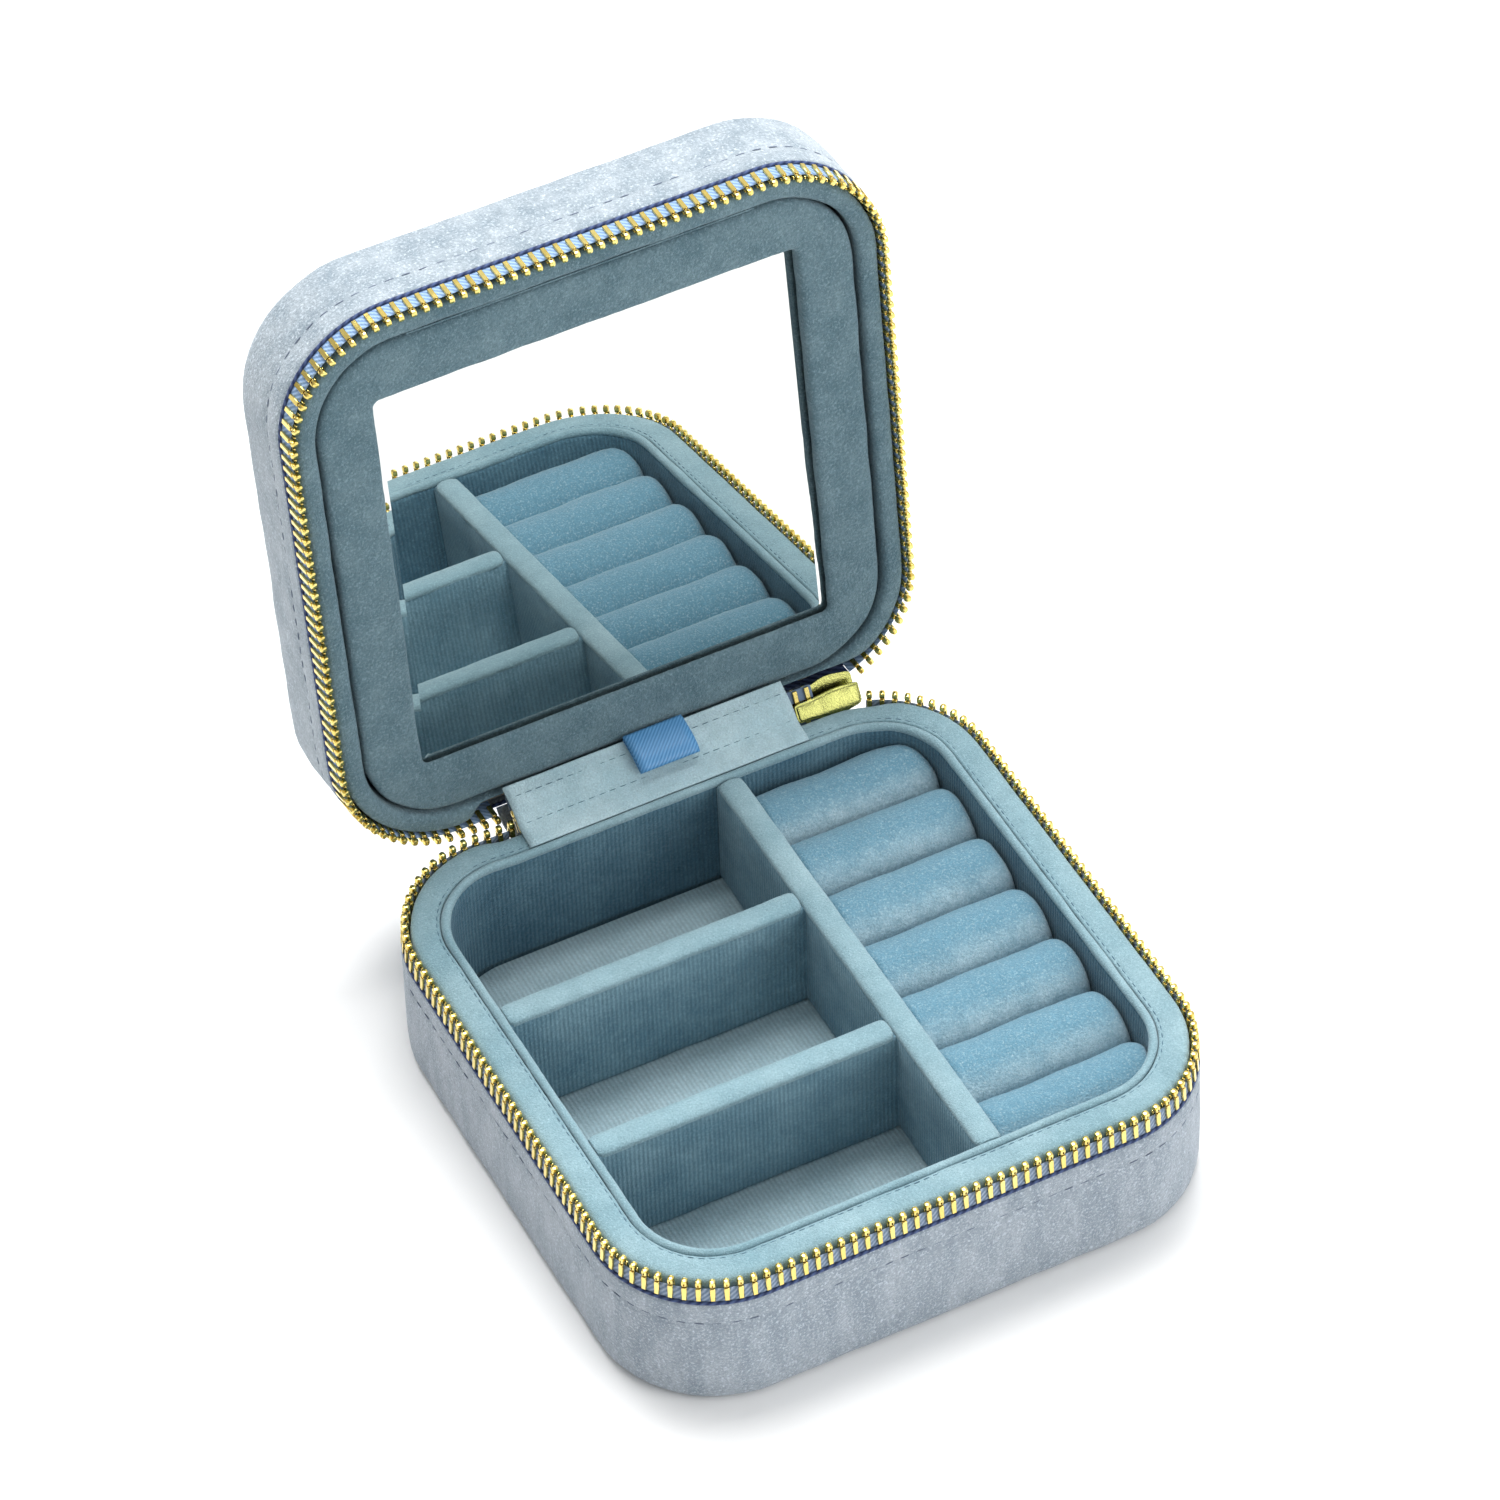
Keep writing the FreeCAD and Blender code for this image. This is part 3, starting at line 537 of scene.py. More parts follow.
@dataclass(frozen=True)
class Outline:
    """Rounded rectangle seen from above, walked from the middle of its hinge side."""

    half_x: float
    half_y: float
    radius: float
    corner_steps: int = 14
    side_steps: int = 36

    def stations(self) -> list[Station]:
        """Places all round, anticlockwise from the middle of the hinge side.

        Returns:
            The places, without the first repeated.
        """
        straight_x, straight_y = self.half_x - self.radius, self.half_y - self.radius
        spots: list[tuple[Vector, Vector]] = []
        corners = ((-1, 1), (-1, -1), (1, -1), (1, 1))
        start = Vector((0.0, self.half_y, 0.0))
        for number, (sign_x, sign_y) in enumerate(corners):
            facing = Matrix.Rotation(math.radians(90 * number), 3, "Z") @ Vector((0, 1, 0))
            centre = Vector((sign_x * straight_x, sign_y * straight_y, 0))
            end = centre + facing * self.radius
            steps = self.side_steps // 2 if number == 0 else self.side_steps
            spots += [(start.lerp(end, k / steps), facing) for k in range(steps)]
            for k in range(self.corner_steps):
                turn = Matrix.Rotation(math.radians(90 * k / self.corner_steps), 3, "Z")
                spots.append((centre + turn @ facing * self.radius, turn @ facing))
            turned = Matrix.Rotation(math.radians(90), 3, "Z") @ facing
            start = centre + turned * self.radius
        facing = Vector((0, 1, 0))
        last = Vector((0.0, self.half_y, 0.0))
        steps = self.side_steps // 2
        spots += [(start.lerp(last, k / steps), facing) for k in range(steps)]
        places, along = [], 0.0
        for number, (point, outward) in enumerate(spots):
            if number:
                along += (point - spots[number - 1][0]).length
            places.append(Station(point, outward, along))
        return places

    def row(self, inset: float, z: float) -> Row:
        """Points all round at one inset and height."""
        return [s.point - s.outward * inset + Vector((0, 0, z)) for s in self.stations()]


SHELL = Outline(48.8, 49.4, 19.2)
SNUG_LEFT, SNUG_RIGHT, SNUG_EASE = -25.5, 37.8, 4.0
TAPE_DEEP, TAPE_NEAR = 7.6, 0.9


def clear_of_hinge(point: Vector) -> float:
    """How far a place is clear of the hinge cloth and the slider.

    Args:
        point: The place.

    Returns:
        0 beside the hinge cloth, rising to 1 a few millimetres away from it.
    """
    if point.y < 0:
        return 1.0
    beyond = max(SNUG_LEFT - point.x, point.x - SNUG_RIGHT, 0.0)
    share = min(1.0, beyond / SNUG_EASE)
    return share * share * (3 - 2 * share)


def padded_rows(snug: list[tuple[float, float]], full: list[tuple[float, float]]) -> list[Row]:
    """Rows of a section that is snug beside the hinge and full everywhere else.

    Args:
        snug: Insets and heights beside the hinge.
        full: Insets and heights elsewhere.

    Returns:
        The rows.
    """
    rows = []
    for (inset_a, z_a), (inset_b, z_b) in zip(snug, full):
        row = []
        for s in SHELL.stations():
            share = clear_of_hinge(s.point)
            inset = inset_a + (inset_b - inset_a) * share
            row.append(s.point - s.outward * inset + Vector((0, 0, z_a + (z_b - z_a) * share)))
        rows.append(row)
    return rows


def sweep(rows: list[Row], loop: bool = True, tube: bool = False) -> bmesh.types.BMesh:
    """Draw a surface out from one row of points through the others, with a UV map in millimetres.

    Args:
        rows: Rows with the same number of points.
        loop: Each row closes on itself.
        tube: The last row joins the first.

    Returns:
        The mesh.
    """
    shape = bmesh.new()
    count = len(rows[0])
    pairs = range(count if loop else count - 1)
    line = [shape.verts.new(point) for point in rows[0]]
    grid = [line]
    edges = [shape.edges.new((line[i], line[(i + 1) % count])) for i in pairs]
    first_edges = list(edges)
    for row in rows[1:]:
        made = bmesh.ops.extrude_edge_only(shape, edges=edges)["geom"]
        fresh = {item for item in made if isinstance(item, bmesh.types.BMVert)}
        moved = []
        for vertex, point in zip(grid[-1], row):
            other = next(o for o in (e.other_vert(vertex) for e in vertex.link_edges)
                         if o in fresh)
            other.co = point
            moved.append(other)
        edges = [shape.edges.get((moved[i], moved[(i + 1) % count])) for i in pairs]
        grid.append(moved)
    if tube:
        bmesh.ops.bridge_loops(shape, edges=first_edges + edges)
    unwrap(shape, grid, loop, tube)
    return shape


def unwrap(shape: bmesh.types.BMesh, grid: list[list[bmesh.types.BMVert]], loop: bool,
           tube: bool) -> None:
    """Give a swept surface its UV map: U runs along the rows, V from row to row.

    Args:
        shape: The mesh.
        grid: Its vertices, row by row.
        loop: Each row closes on itself.
        tube: The last row joins the first.
    """
    layer = shape.loops.layers.uv.new("UVMap")
    middle = [v.co.copy() for v in grid[len(grid) // 2]]
    along = [0.0]
    for here, there in zip(middle, middle[1:]):
        along.append(along[-1] + (there - here).length)
    around = along[-1] + (middle[0] - middle[-1]).length
    across = [0.0]
    for lower, upper in zip(grid, grid[1:]):
        across.append(across[-1] + (upper[0].co - lower[0].co).length)
    through = across[-1] + (grid[0][0].co - grid[-1][0].co).length
    marks = {vertex: (along[i], across[j])
             for j, line in enumerate(grid) for i, vertex in enumerate(line)}
    for face in shape.faces:
        spots = [marks[corner.vert] for corner in face.loops]
        wide = max(s[0] for s in spots) - min(s[0] for s in spots)
        tall = max(s[1] for s in spots) - min(s[1] for s in spots)
        for corner, (u, v) in zip(face.loops, spots):
            if loop and wide > around / 2 and u < around / 2:
                u += around
            if tube and tall > through / 2 and v < through / 2:
                v += through
            corner[layer].uv = (u, v)


def close_ends(shape: bmesh.types.BMesh) -> None:
    """Fill every open end of a swept shape."""
    bmesh.ops.holes_fill(shape, edges=[e for e in shape.edges if e.is_boundary], sides=0)


def soften(shape: bmesh.types.BMesh, amount: float, size: float, seed: float) -> None:
    """Make a padded surface a little uneven.

    Args:
        shape: The mesh.
        amount: Largest move along the normal, in millimetres.
        size: Size of the unevenness, in millimetres.
        seed: Shifts the pattern.
    """
    shape.normal_update()
    moves = {}
    for vertex in shape.verts:
        spot = vertex.co / size + Vector((seed, seed * 1.7, seed * 0.6))
        moves[vertex] = vertex.normal * noise.noise(spot) * amount
    for vertex, move in moves.items():
        vertex.co += move


def piece(name: str, shape: bmesh.types.BMesh, finish: bpy.types.Material, body: str,
          place: Place = Place.BASE, crease: float = 50.0,
          ride: bool = True) -> bpy.types.Object:
    """Turn a finished bmesh into an object that rides on a body.

    Args:
        name: Name of the piece.
        shape: The mesh, in millimetres with the lid shut. It is freed.
        finish: Material.
        body: Body that it rides on.
        place: How far it turns open.
        crease: Angle in degrees past which an edge is sharp.
        ride: False to leave the piece unattached to any body.

    Returns:
        The object.
    """
    bmesh.ops.recalc_face_normals(shape, faces=shape.faces)
    shape.transform(place.matrix())
    mesh = bpy.data.meshes.new(name)
    shape.to_mesh(mesh)
    shape.free()
    mesh.shade_smooth()
    mesh.set_sharp_from_angle(angle=math.radians(crease))
    mesh.materials.append(finish)
    made = bpy.data.objects.new(name, mesh)
    bpy.context.scene.collection.objects.link(made)
    if ride:
        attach(made, body)
    LOG.info("made %s with %d faces", name, len(mesh.polygons))
    return made


class Pile:
    """Fabric pieces that are rounded off and roughened once every piece is in place."""

    waiting: list[tuple[bpy.types.Object, float, float]] = []

    @classmethod
    def later(cls, made: bpy.types.Object, depth: float = 0.1, size: float = 0.55) -> None:
        """Put a piece down for its pile.

        Args:
            made: The piece.
            depth: Height of the pile's unevenness, in millimetres.
            size: Size of its tufts, in millimetres.
        """
        cls.waiting.append((made, depth, size))

    @classmethod
    def grow(cls) -> None:
        """Give every waiting piece its pile."""
        for made, depth, size in cls.waiting:
            rounder = made.modifiers.new("rounding", "SUBSURF")
            rounder.levels = 1
            rounder.render_levels = 1
            tufts = bpy.data.textures.new(f"{made.name}_tufts", "CLOUDS")
            tufts.noise_scale = size * MM
            tufts.noise_depth = 1
            pile = made.modifiers.new("pile", "DISPLACE")
            pile.texture = tufts
            pile.texture_coords = "LOCAL"
            pile.strength = depth * MM
            pile.mid_level = 0.5
            LOG.info("grew the pile of %s", made.name)


def dress(node: str, finish: bpy.types.Material) -> None:
    """Give a CAD node its finish on the object's own slot.

    Args:
        node: Name of the node.
        finish: Material.
    """
    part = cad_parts[node]
    if not part.material_slots:
        part.data.materials.append(None)
    for holder in part.material_slots:
        holder.link = "OBJECT"
        holder.material = finish
    LOG.info("dressed %s", node)


@dataclass(frozen=True)
class Stitch:
    """A run of sewn thread."""

    length: float = 1.9
    gap: float = 0.8
    thickness: float = 0.3

    def sew(self, path: list[tuple[Vector, Vector]], closed: bool) -> bmesh.types.BMesh:
        """Lay stitches along a path.

        Args:
            path: Points with the surface's outward normal, close together.
            closed: The path closes on itself.

        Returns:
            One mesh with all the stitches.
        """
        points = [p for p, _ in path] + ([path[0][0]] if closed else [])
        normals = [n for _, n in path] + ([path[0][1]] if closed else [])
        lengths = [0.0]
        for here, there in zip(points, points[1:]):
            lengths.append(lengths[-1] + (there - here).length)
        count = max(1, round(lengths[-1] / (self.length + self.gap)))
        step = lengths[-1] / count
        shape = bmesh.new()
        segment = 0
        for number in range(count):
            middle = step * (number + 0.5)
            while segment < len(lengths) - 2 and lengths[segment + 1] < middle:
                segment += 1
            span = lengths[segment + 1] - lengths[segment]
            share = (middle - lengths[segment]) / span if span else 0.0
            spot = points[segment].lerp(points[segment + 1], share)
            forward = (points[segment + 1] - points[segment]).normalized()
            up = (normals[segment] - forward * normals[segment].dot(forward)).normalized()
            side = up.cross(forward)
            lie = Matrix((forward, side, up)).transposed().to_4x4()
            size = Matrix.Diagonal((self.length / 2, self.thickness / 2, self.thickness / 2, 1))
            bmesh.ops.create_uvsphere(shape, u_segments=5, v_segments=6, radius=1.0,
                                      matrix=Matrix.Translation(spot) @ lie @ size
                                      @ Matrix.Rotation(math.pi / 2, 4, "Y"))
        shape.loops.layers.uv.new("UVMap")
        return shape


# ---- outer shells --------------------------------------------------------------------------
@dataclass
class VelvetShell:
    """Outer velvet of one half: a side band and a panel in one skin, with a sewn hem."""

    name: str
    body: str
    place: Place
    replaced: tuple[str, ...]
    hem_z: float
    far_z: float
    round_r: float = 2.0
    pucker: float = 2.7
    bulge: float = 0.12
    seam: float = 4.1

    def build(self, finishes: Finishes) -> None:
        """Make the skin, its hem stitches and the piping along its edge.

        Args:
            finishes: The case's finishes.
        """
        skin = sweep(self.rows(), loop=True)
        close_ends(skin)
        soften(skin, 0.14, 5.0, self.hem_z)
        # The lid takes the paler copy of the velvet, with its painted light.
        velvet = finishes.outer if self.place is Place.BASE else finishes.lid_velvet_lit_copy
        made = piece(self.name, skin, velvet, self.body, self.place, 60)
        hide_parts(*self.replaced)
        thread = Stitch(1.5, 1.2, 0.22).sew(self.stitch_path(), closed=True)
        piece(f"{self.name}_stitches", thread, finishes.outer_thread, self.body, self.place)
        piece(f"{self.name}_piping", self.piping(), finishes.piping, self.body, self.place)

    def away(self) -> float:
        """1 if the shell reaches up from its hem, and -1 if it reaches down."""
        return 1.0 if self.far_z > self.hem_z else -1.0

    def rows(self) -> list[Row]:
        """Rows from the inside of the panel, over the hem and round to its outside.

        Returns:
            The rows.
        """
        out, tall, seam = self.away(), abs(self.far_z - self.hem_z), self.seam
        profile = [(8.0, tall - 0.5), (3.0, tall - 0.5), (0.9, tall - 1.6), (0.5, tall - 3.0),
                   (0.5, tall * 0.5), (0.5, 0.6), (0.42, 0.1), (0.2, 0.0),
                   (0.02, 0.25), (0.0, 0.7), (0.0, 1.4), (-0.04, 2.3), (-0.02, seam - 0.7),
                   (0.16, seam), (-0.02, seam + 0.7), (-0.06, seam + 1.6)]
        first = seam + 2.6
        last = tall - self.round_r - 0.4
        steps = 8
        for k in range(steps + 1):
            share = k / steps
            swell = self.bulge * math.sin(math.pi * share)
            profile.append((-0.04 - swell, first + (last - first) * share))
        for k in range(1, 8):
            turn = math.radians(90 * k / 7)
            profile.append((self.round_r * (1 - math.cos(turn)),
                            tall - self.round_r + self.round_r * math.sin(turn)))
        profile.append((self.round_r + 0.8, tall))
        profile.append((8.0, tall))
        stations = SHELL.stations()
        rows = []
        for inset, depth in profile:
            dent = max(0.0, 1.0 - abs(depth - seam) / 1.3) if inset < 0.4 else 0.0
            row = []
            for s in stations:
                wave = 0.5 + 0.5 * math.cos(2 * math.pi * s.along / self.pucker)
                uneven = 0.5 + noise.noise(Vector((s.along / 4.0, self.hem_z, 0)))
                push = inset + 0.24 * dent * wave * uneven
                row.append(s.point - s.outward * push
                           + Vector((0, 0, self.hem_z + out * depth)))
            rows.append(row)
        return rows

    def stitch_path(self) -> list[tuple[Vector, Vector]]:
        """Where the hem is sewn.

        Returns:
            Points with their outward normals.
        """
        z = self.hem_z + self.away() * self.seam
        return [(s.point - s.outward * (0.19 + 0.14 * noise.noise(Vector((s.along / 5, z, 0))))
                 + Vector((0, 0, z)), s.outward) for s in SHELL.stations()]

    def piping(self) -> bmesh.types.BMesh:
        """Thin twisted cord in the crease between velvet and zip tape; its near-black finish is
        partly the cord's navy and partly painted shade of the crease.

        Returns:
            The mesh.
        """
        rows = []
        for k in range(8):
            turn = math.radians(45 * k)
            rows.append(SHELL.row(0.36 + 0.3 * math.cos(turn),
                                  self.hem_z - self.away() * 0.22 + 0.3 * math.sin(turn)))
        return sweep(rows, loop=True, tube=True)


# ---- zip -----------------------------------------------------------------------------------
@dataclass
class ZipRow:
    """Tape and teeth of one half."""

    body: str
    place: Place
    replaced: tuple[str, ...]
    upward: bool
    inset: float = 0.8
    pitch: float = 2.0
    start_x: float = 37.15
    left_end: float = -23.4

    def length(self) -> float:
        """Length of the closed line of teeth."""
        half_x, half_y, radius = self.sizes()
        return 4 * (half_x + half_y - 2 * radius) + 2 * math.pi * radius

    def sizes(self) -> tuple[float, float, float]:
        """Half sizes and corner radius of the line of teeth."""
        return (SHELL.half_x - self.inset, SHELL.half_y - self.inset,
                SHELL.radius - self.inset)

    def at(self, distance: float) -> tuple[Vector, float]:
        """Place on the line of teeth, clockwise from the middle of the hinge side.

        Args:
            distance: Distance along the line, in millimetres.

        Returns:
            The point in the plane where the halves meet, and the angle that it faces.
        """
        half_x, half_y, radius = self.sizes()
        run_x, run_y, arc = half_x - radius, half_y - radius, radius * math.pi / 2
        lengths = (run_x, arc, 2 * run_y, arc, 2 * run_x, arc, 2 * run_y, arc, run_x)
        starts = ((0, half_y), (run_x, run_y), (half_x, run_y), (run_x, -run_y),
                  (run_x, -half_y), (-run_x, -run_y), (-half_x, -run_y), (-run_x, run_y),
                  (-run_x, half_y))
        number = 0
        while number < 8 and distance > lengths[number]:
            distance -= lengths[number]
            number += 1
        x, y = starts[number]
        facing = math.radians(90 - 90 * (number // 2))
        if number % 2:
            facing -= distance / radius
            return Vector((x + radius * math.cos(facing), y + radius * math.sin(facing),
                           MEET_Z)), facing
        forward = Vector((math.sin(facing), -math.cos(facing), 0))
        return Vector((x, y, MEET_Z)) + forward * distance, facing

    def first(self) -> float:
        """Distance along the line to the first tooth at the slider's mouth."""
        half_x, _, radius = self.sizes()
        run_x = half_x - radius
        return run_x + radius * math.asin((self.start_x - run_x) / radius)

    def count(self) -> int:
        """Whole pitches in the open row."""
        return int((self.length() + self.left_end - self.first()) / self.pitch)

    def build(self, finishes: Finishes) -> None:
        """Make the tape and the row of teeth.

        Args:
            finishes: The case's finishes.
        """
        shift = self.pitch / 2 if self.upward else 0.0
        number = self.count() + (0 if self.upward else 1)
        spots = [self.at(self.first() + shift + k * self.pitch) for k in range(number)]
        row = tooth_row(spots, self.upward)
        teeth = piece(f"{self.body}_gold_teeth", row, finishes.gold, self.body, self.place,
                      40)
        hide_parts(*self.replaced[1:])
        cloth = finishes.lid_tape if self.upward else finishes.tape
        woven = self.tape(self.first() - 0.5, self.length() + self.left_end - 0.5, 300)
        tape = piece(f"{self.body}_tape", woven, cloth, self.body, self.place)
        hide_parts(self.replaced[0])

        if self.upward:
            for name, start, stop, outward, near in (
                    ("lid_tape_by_slider", 29.4, self.first() - 0.6, 0.0, TAPE_NEAR),
                    ("lid_tape_by_gusset", 24.8, 29.3, -0.43, 3.1)):
                bare = self.tape(start, stop, 8, outward, near)
                piece(name, bare, finishes.piping, self.body, self.place)

    def tape(self, start: float, stop: float, steps: int,
             outward: float = 0.0, near: float = TAPE_NEAR) -> bmesh.types.BMesh:
        """Woven tape that carries the teeth.

        Args:
            start: Distance along the line of teeth where it starts.
            stop: Distance where it stops.
            steps: Number of its divisions.
            outward: How far outside the line of teeth it lies.
            near: How near its edge comes to the plane where the halves meet.

        Returns:
            The mesh.
        """
        spots = [self.at(start + (stop - start) * k / steps) for k in range(steps + 1)]
        sign = 1.0 if self.upward else -1.0
        profile = [(-0.22, TAPE_DEEP), (0.25, TAPE_DEEP), (0.25, 4.0), (0.27, 2.0), (0.25, 1.15),
                   (0.0, TAPE_NEAR), (-0.22, 1.15), (-0.22, 4.0)]
        shrink = (TAPE_DEEP - near) / (TAPE_DEEP - TAPE_NEAR)
        rows = []
        for out, depth in profile:
            rows.append([point + Vector((math.cos(a), math.sin(a), 0)) * (out + outward)
                         + Vector((0, 0, sign * (TAPE_DEEP - (TAPE_DEEP - depth) * shrink)))
                         for point, a in spots])
        shape = sweep(rows, loop=False, tube=True)
        close_ends(shape)
        return shape


TOOTH_HEAD = (0.98, 1.12, 1.2, 1)
TOOTH_LEG = (0.76, 0.4, 2.44, 1)
LEG_OFF, LEG_Z, LEG_SPLAY = 0.5, -1.68, 4.0


def tooth_shape() -> bmesh.types.BMesh:
    """One tooth of the lower row, standing at the origin and facing +Y.

    Returns:
        The mesh, in millimetres.
    """
    shape = bmesh.new()
    head = bmesh.ops.create_cube(shape, size=1.0, matrix=Matrix.Translation((0, 0, 0.18))
                                 @ Matrix.Diagonal(TOOTH_HEAD))["verts"]
    bmesh.ops.bevel(shape, geom=list({e for v in head for e in v.link_edges}), offset=0.34,
                    segments=2, profile=0.5, affect="EDGES", material=-1)
    outer = [f for f in shape.faces if f.normal.y > 0.95 and f.calc_area() > 0.1]
    bmesh.ops.inset_region(shape, faces=outer, thickness=0.05, depth=0.0)
    bmesh.ops.inset_region(shape, faces=outer, thickness=0.04, depth=-0.34)
    for side in (1.0, -1.0):
        centre = Matrix.Translation((0, side * LEG_OFF, LEG_Z)) @ Matrix.Rotation(
            side * math.radians(LEG_SPLAY), 4, "X")
        leg = bmesh.ops.create_cube(shape, size=1.0, matrix=centre
                                    @ Matrix.Diagonal(TOOTH_LEG))["verts"]
        bmesh.ops.bevel(shape, geom=list({e for v in leg for e in v.link_edges}), offset=0.07,
                        segments=1, profile=0.5, affect="EDGES", material=-1)
    return shape


def tooth_row(spots: list[tuple[Vector, float]], upward: bool) -> bmesh.types.BMesh:
    """Copy the tooth to every place of a row.

    Args:
        spots: Points with the angle that each faces.
        upward: The row's legs point up, as in the lid.

    Returns:
        One mesh with all the teeth.
    """
    shape = bmesh.new()
    pattern = bpy.data.meshes.new("tooth_pattern")
    made = tooth_shape()
    bmesh.ops.recalc_face_normals(made, faces=made.faces)
    made.to_mesh(pattern)
    made.free()
    flip = Matrix.Diagonal((1, 1, -1, 1)) if upward else Matrix.Identity(4)
    for point, facing in spots:
        before = len(shape.verts)
        shape.from_mesh(pattern)
        shape.verts.ensure_lookup_table()
        turn = Matrix.Rotation(facing - math.pi / 2, 4, "Z")
        bmesh.ops.transform(shape, matrix=Matrix.Translation(point) @ turn @ flip,
                            verts=shape.verts[before:])
    bpy.data.meshes.remove(pattern)
    return shape


@dataclass
class ZipEnds:
    """The two short closed runs of the zip behind the hinge, and the slider with its pull."""

    zip_y: float = 48.6
    slider_start: float = 25.2
    slider_length: float = 11.0
    plate_off: float = 0.82
    plate_thick: float = 0.42
    near_lip: float = 0.42
    wedge_at: float = 9.3
    bar_off: float = 3.05
    bar_radius: float = 0.45
    lug_off: float = 1.85

    def build(self, finishes: Finishes) -> None:
        """Make the closed runs and the slider, and dress the pull.

        Args:
            finishes: The case's finishes.
        """
        runs = (("left", "zip_end_left", Place.LEFT_END, -22.4, -16.8),
                ("right", "zip_end_right", Place.RIGHT_END, 18.6, 28.9))
        for side, body, place, start, stop in runs:
            lower, upper = [], []
            x = start + 0.45
            while x < stop - 0.4:
                row = upper if len(lower) > len(upper) else lower
                row.append((Vector((x, self.zip_y, MEET_Z)), math.pi / 2))
                x += 1.0
            for name, spots, flipped in (("lower", lower, False), ("upper", upper, True)):
                made = piece(f"chain_{side}_{name}", tooth_row(spots, flipped), finishes.gold,
                             body, place, 40)
                if name == "lower":
                    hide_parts(f"zip_chain_{side}")
            dress(f"zip_end_tapes_{side}", finishes.tape)
        dress("zip_stop_box", finishes.satin_gold)
        self.slider(finishes)
        dress("pull_link", finishes.gold)
        dress("pull_tab", finishes.satin_gold)

    @staticmethod
    def outline() -> list[tuple[float, float]]:
        """Half of the slider's outline: distances from its narrow end with half heights."""
        return [(0.0, 1.5), (0.3, 2.05), (1.2, 2.2), (2.8, 2.25), (4.4, 2.5), (5.6, 2.85),
                (6.6, 3.0), (7.8, 2.95), (9.0, 2.75), (10.2, 2.55), (10.8, 2.3), (11.0, 1.9)]

    def slider(self, finishes: Finishes) -> None:
        """Two shaped plates with turned-in flanges, the wedge between them and the bridge.

        Args:
            finishes: The case's finishes.
        """
        shape = bmesh.new()
        for side in (-1.0, 1.0):
            face_y = self.zip_y + side * self.plate_off
            lip = 1.0 if side > 0 else self.near_lip
            half = self.outline()
            ring = [Vector((self.slider_start + x, face_y, MEET_Z + h * lip)) for x, h in half]
            ring += [Vector((self.slider_start + x, face_y, MEET_Z - h)) for x, h in half[::-1]]
            corners = [shape.verts.new(p) for p in ring]
            plate = shape.faces.new(corners)
            made = bmesh.ops.extrude_face_region(shape, geom=[plate])["geom"]
            bmesh.ops.translate(shape, vec=(0, side * self.plate_thick, 0),
                                verts=[g for g in made if isinstance(g, bmesh.types.BMVert)])
            outer = [g for g in made if isinstance(g, bmesh.types.BMFace)]
            bmesh.ops.inset_region(shape, faces=outer, thickness=0.28, depth=0.0)
            bmesh.ops.inset_region(shape, faces=outer, thickness=0.2, depth=-0.14)
        bmesh.ops.create_cone(
            shape, cap_ends=True, segments=4, radius1=0.95, radius2=0.95, depth=2 * self.plate_off,
            matrix=Matrix.Translation((self.slider_start + self.wedge_at, self.zip_y, MEET_Z))
            @ Matrix.Rotation(math.pi / 2, 4, "X"))
        bar_y = self.zip_y + self.bar_off
        bar_x = self.slider_start + self.slider_length / 2
        bmesh.ops.create_cone(
            shape, cap_ends=True, segments=16, radius1=self.bar_radius, radius2=self.bar_radius,
            depth=4.6,
            matrix=Matrix.Translation((bar_x, bar_y, MEET_Z))
            @ Matrix.Rotation(math.pi / 2, 4, "Y"))
        for x in (bar_x - self.lug_off, bar_x + self.lug_off):
            bmesh.ops.create_cube(shape, size=1.0, matrix=Matrix.Translation(
                (x, self.zip_y + 2.3, MEET_Z)) @ Matrix.Diagonal((0.9, 2.2, 0.9, 1)))
        made = piece("slider", shape, finishes.satin_gold, "zip_slider", Place.RIGHT_END,
                     35)
        bevel = made.modifiers.new("rounded_edges", "BEVEL")
        bevel.width = 0.08 * MM
        bevel.segments = 2
        bevel.limit_method = "ANGLE"
        bevel.angle_limit = math.radians(50)
        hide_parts("slider_body")


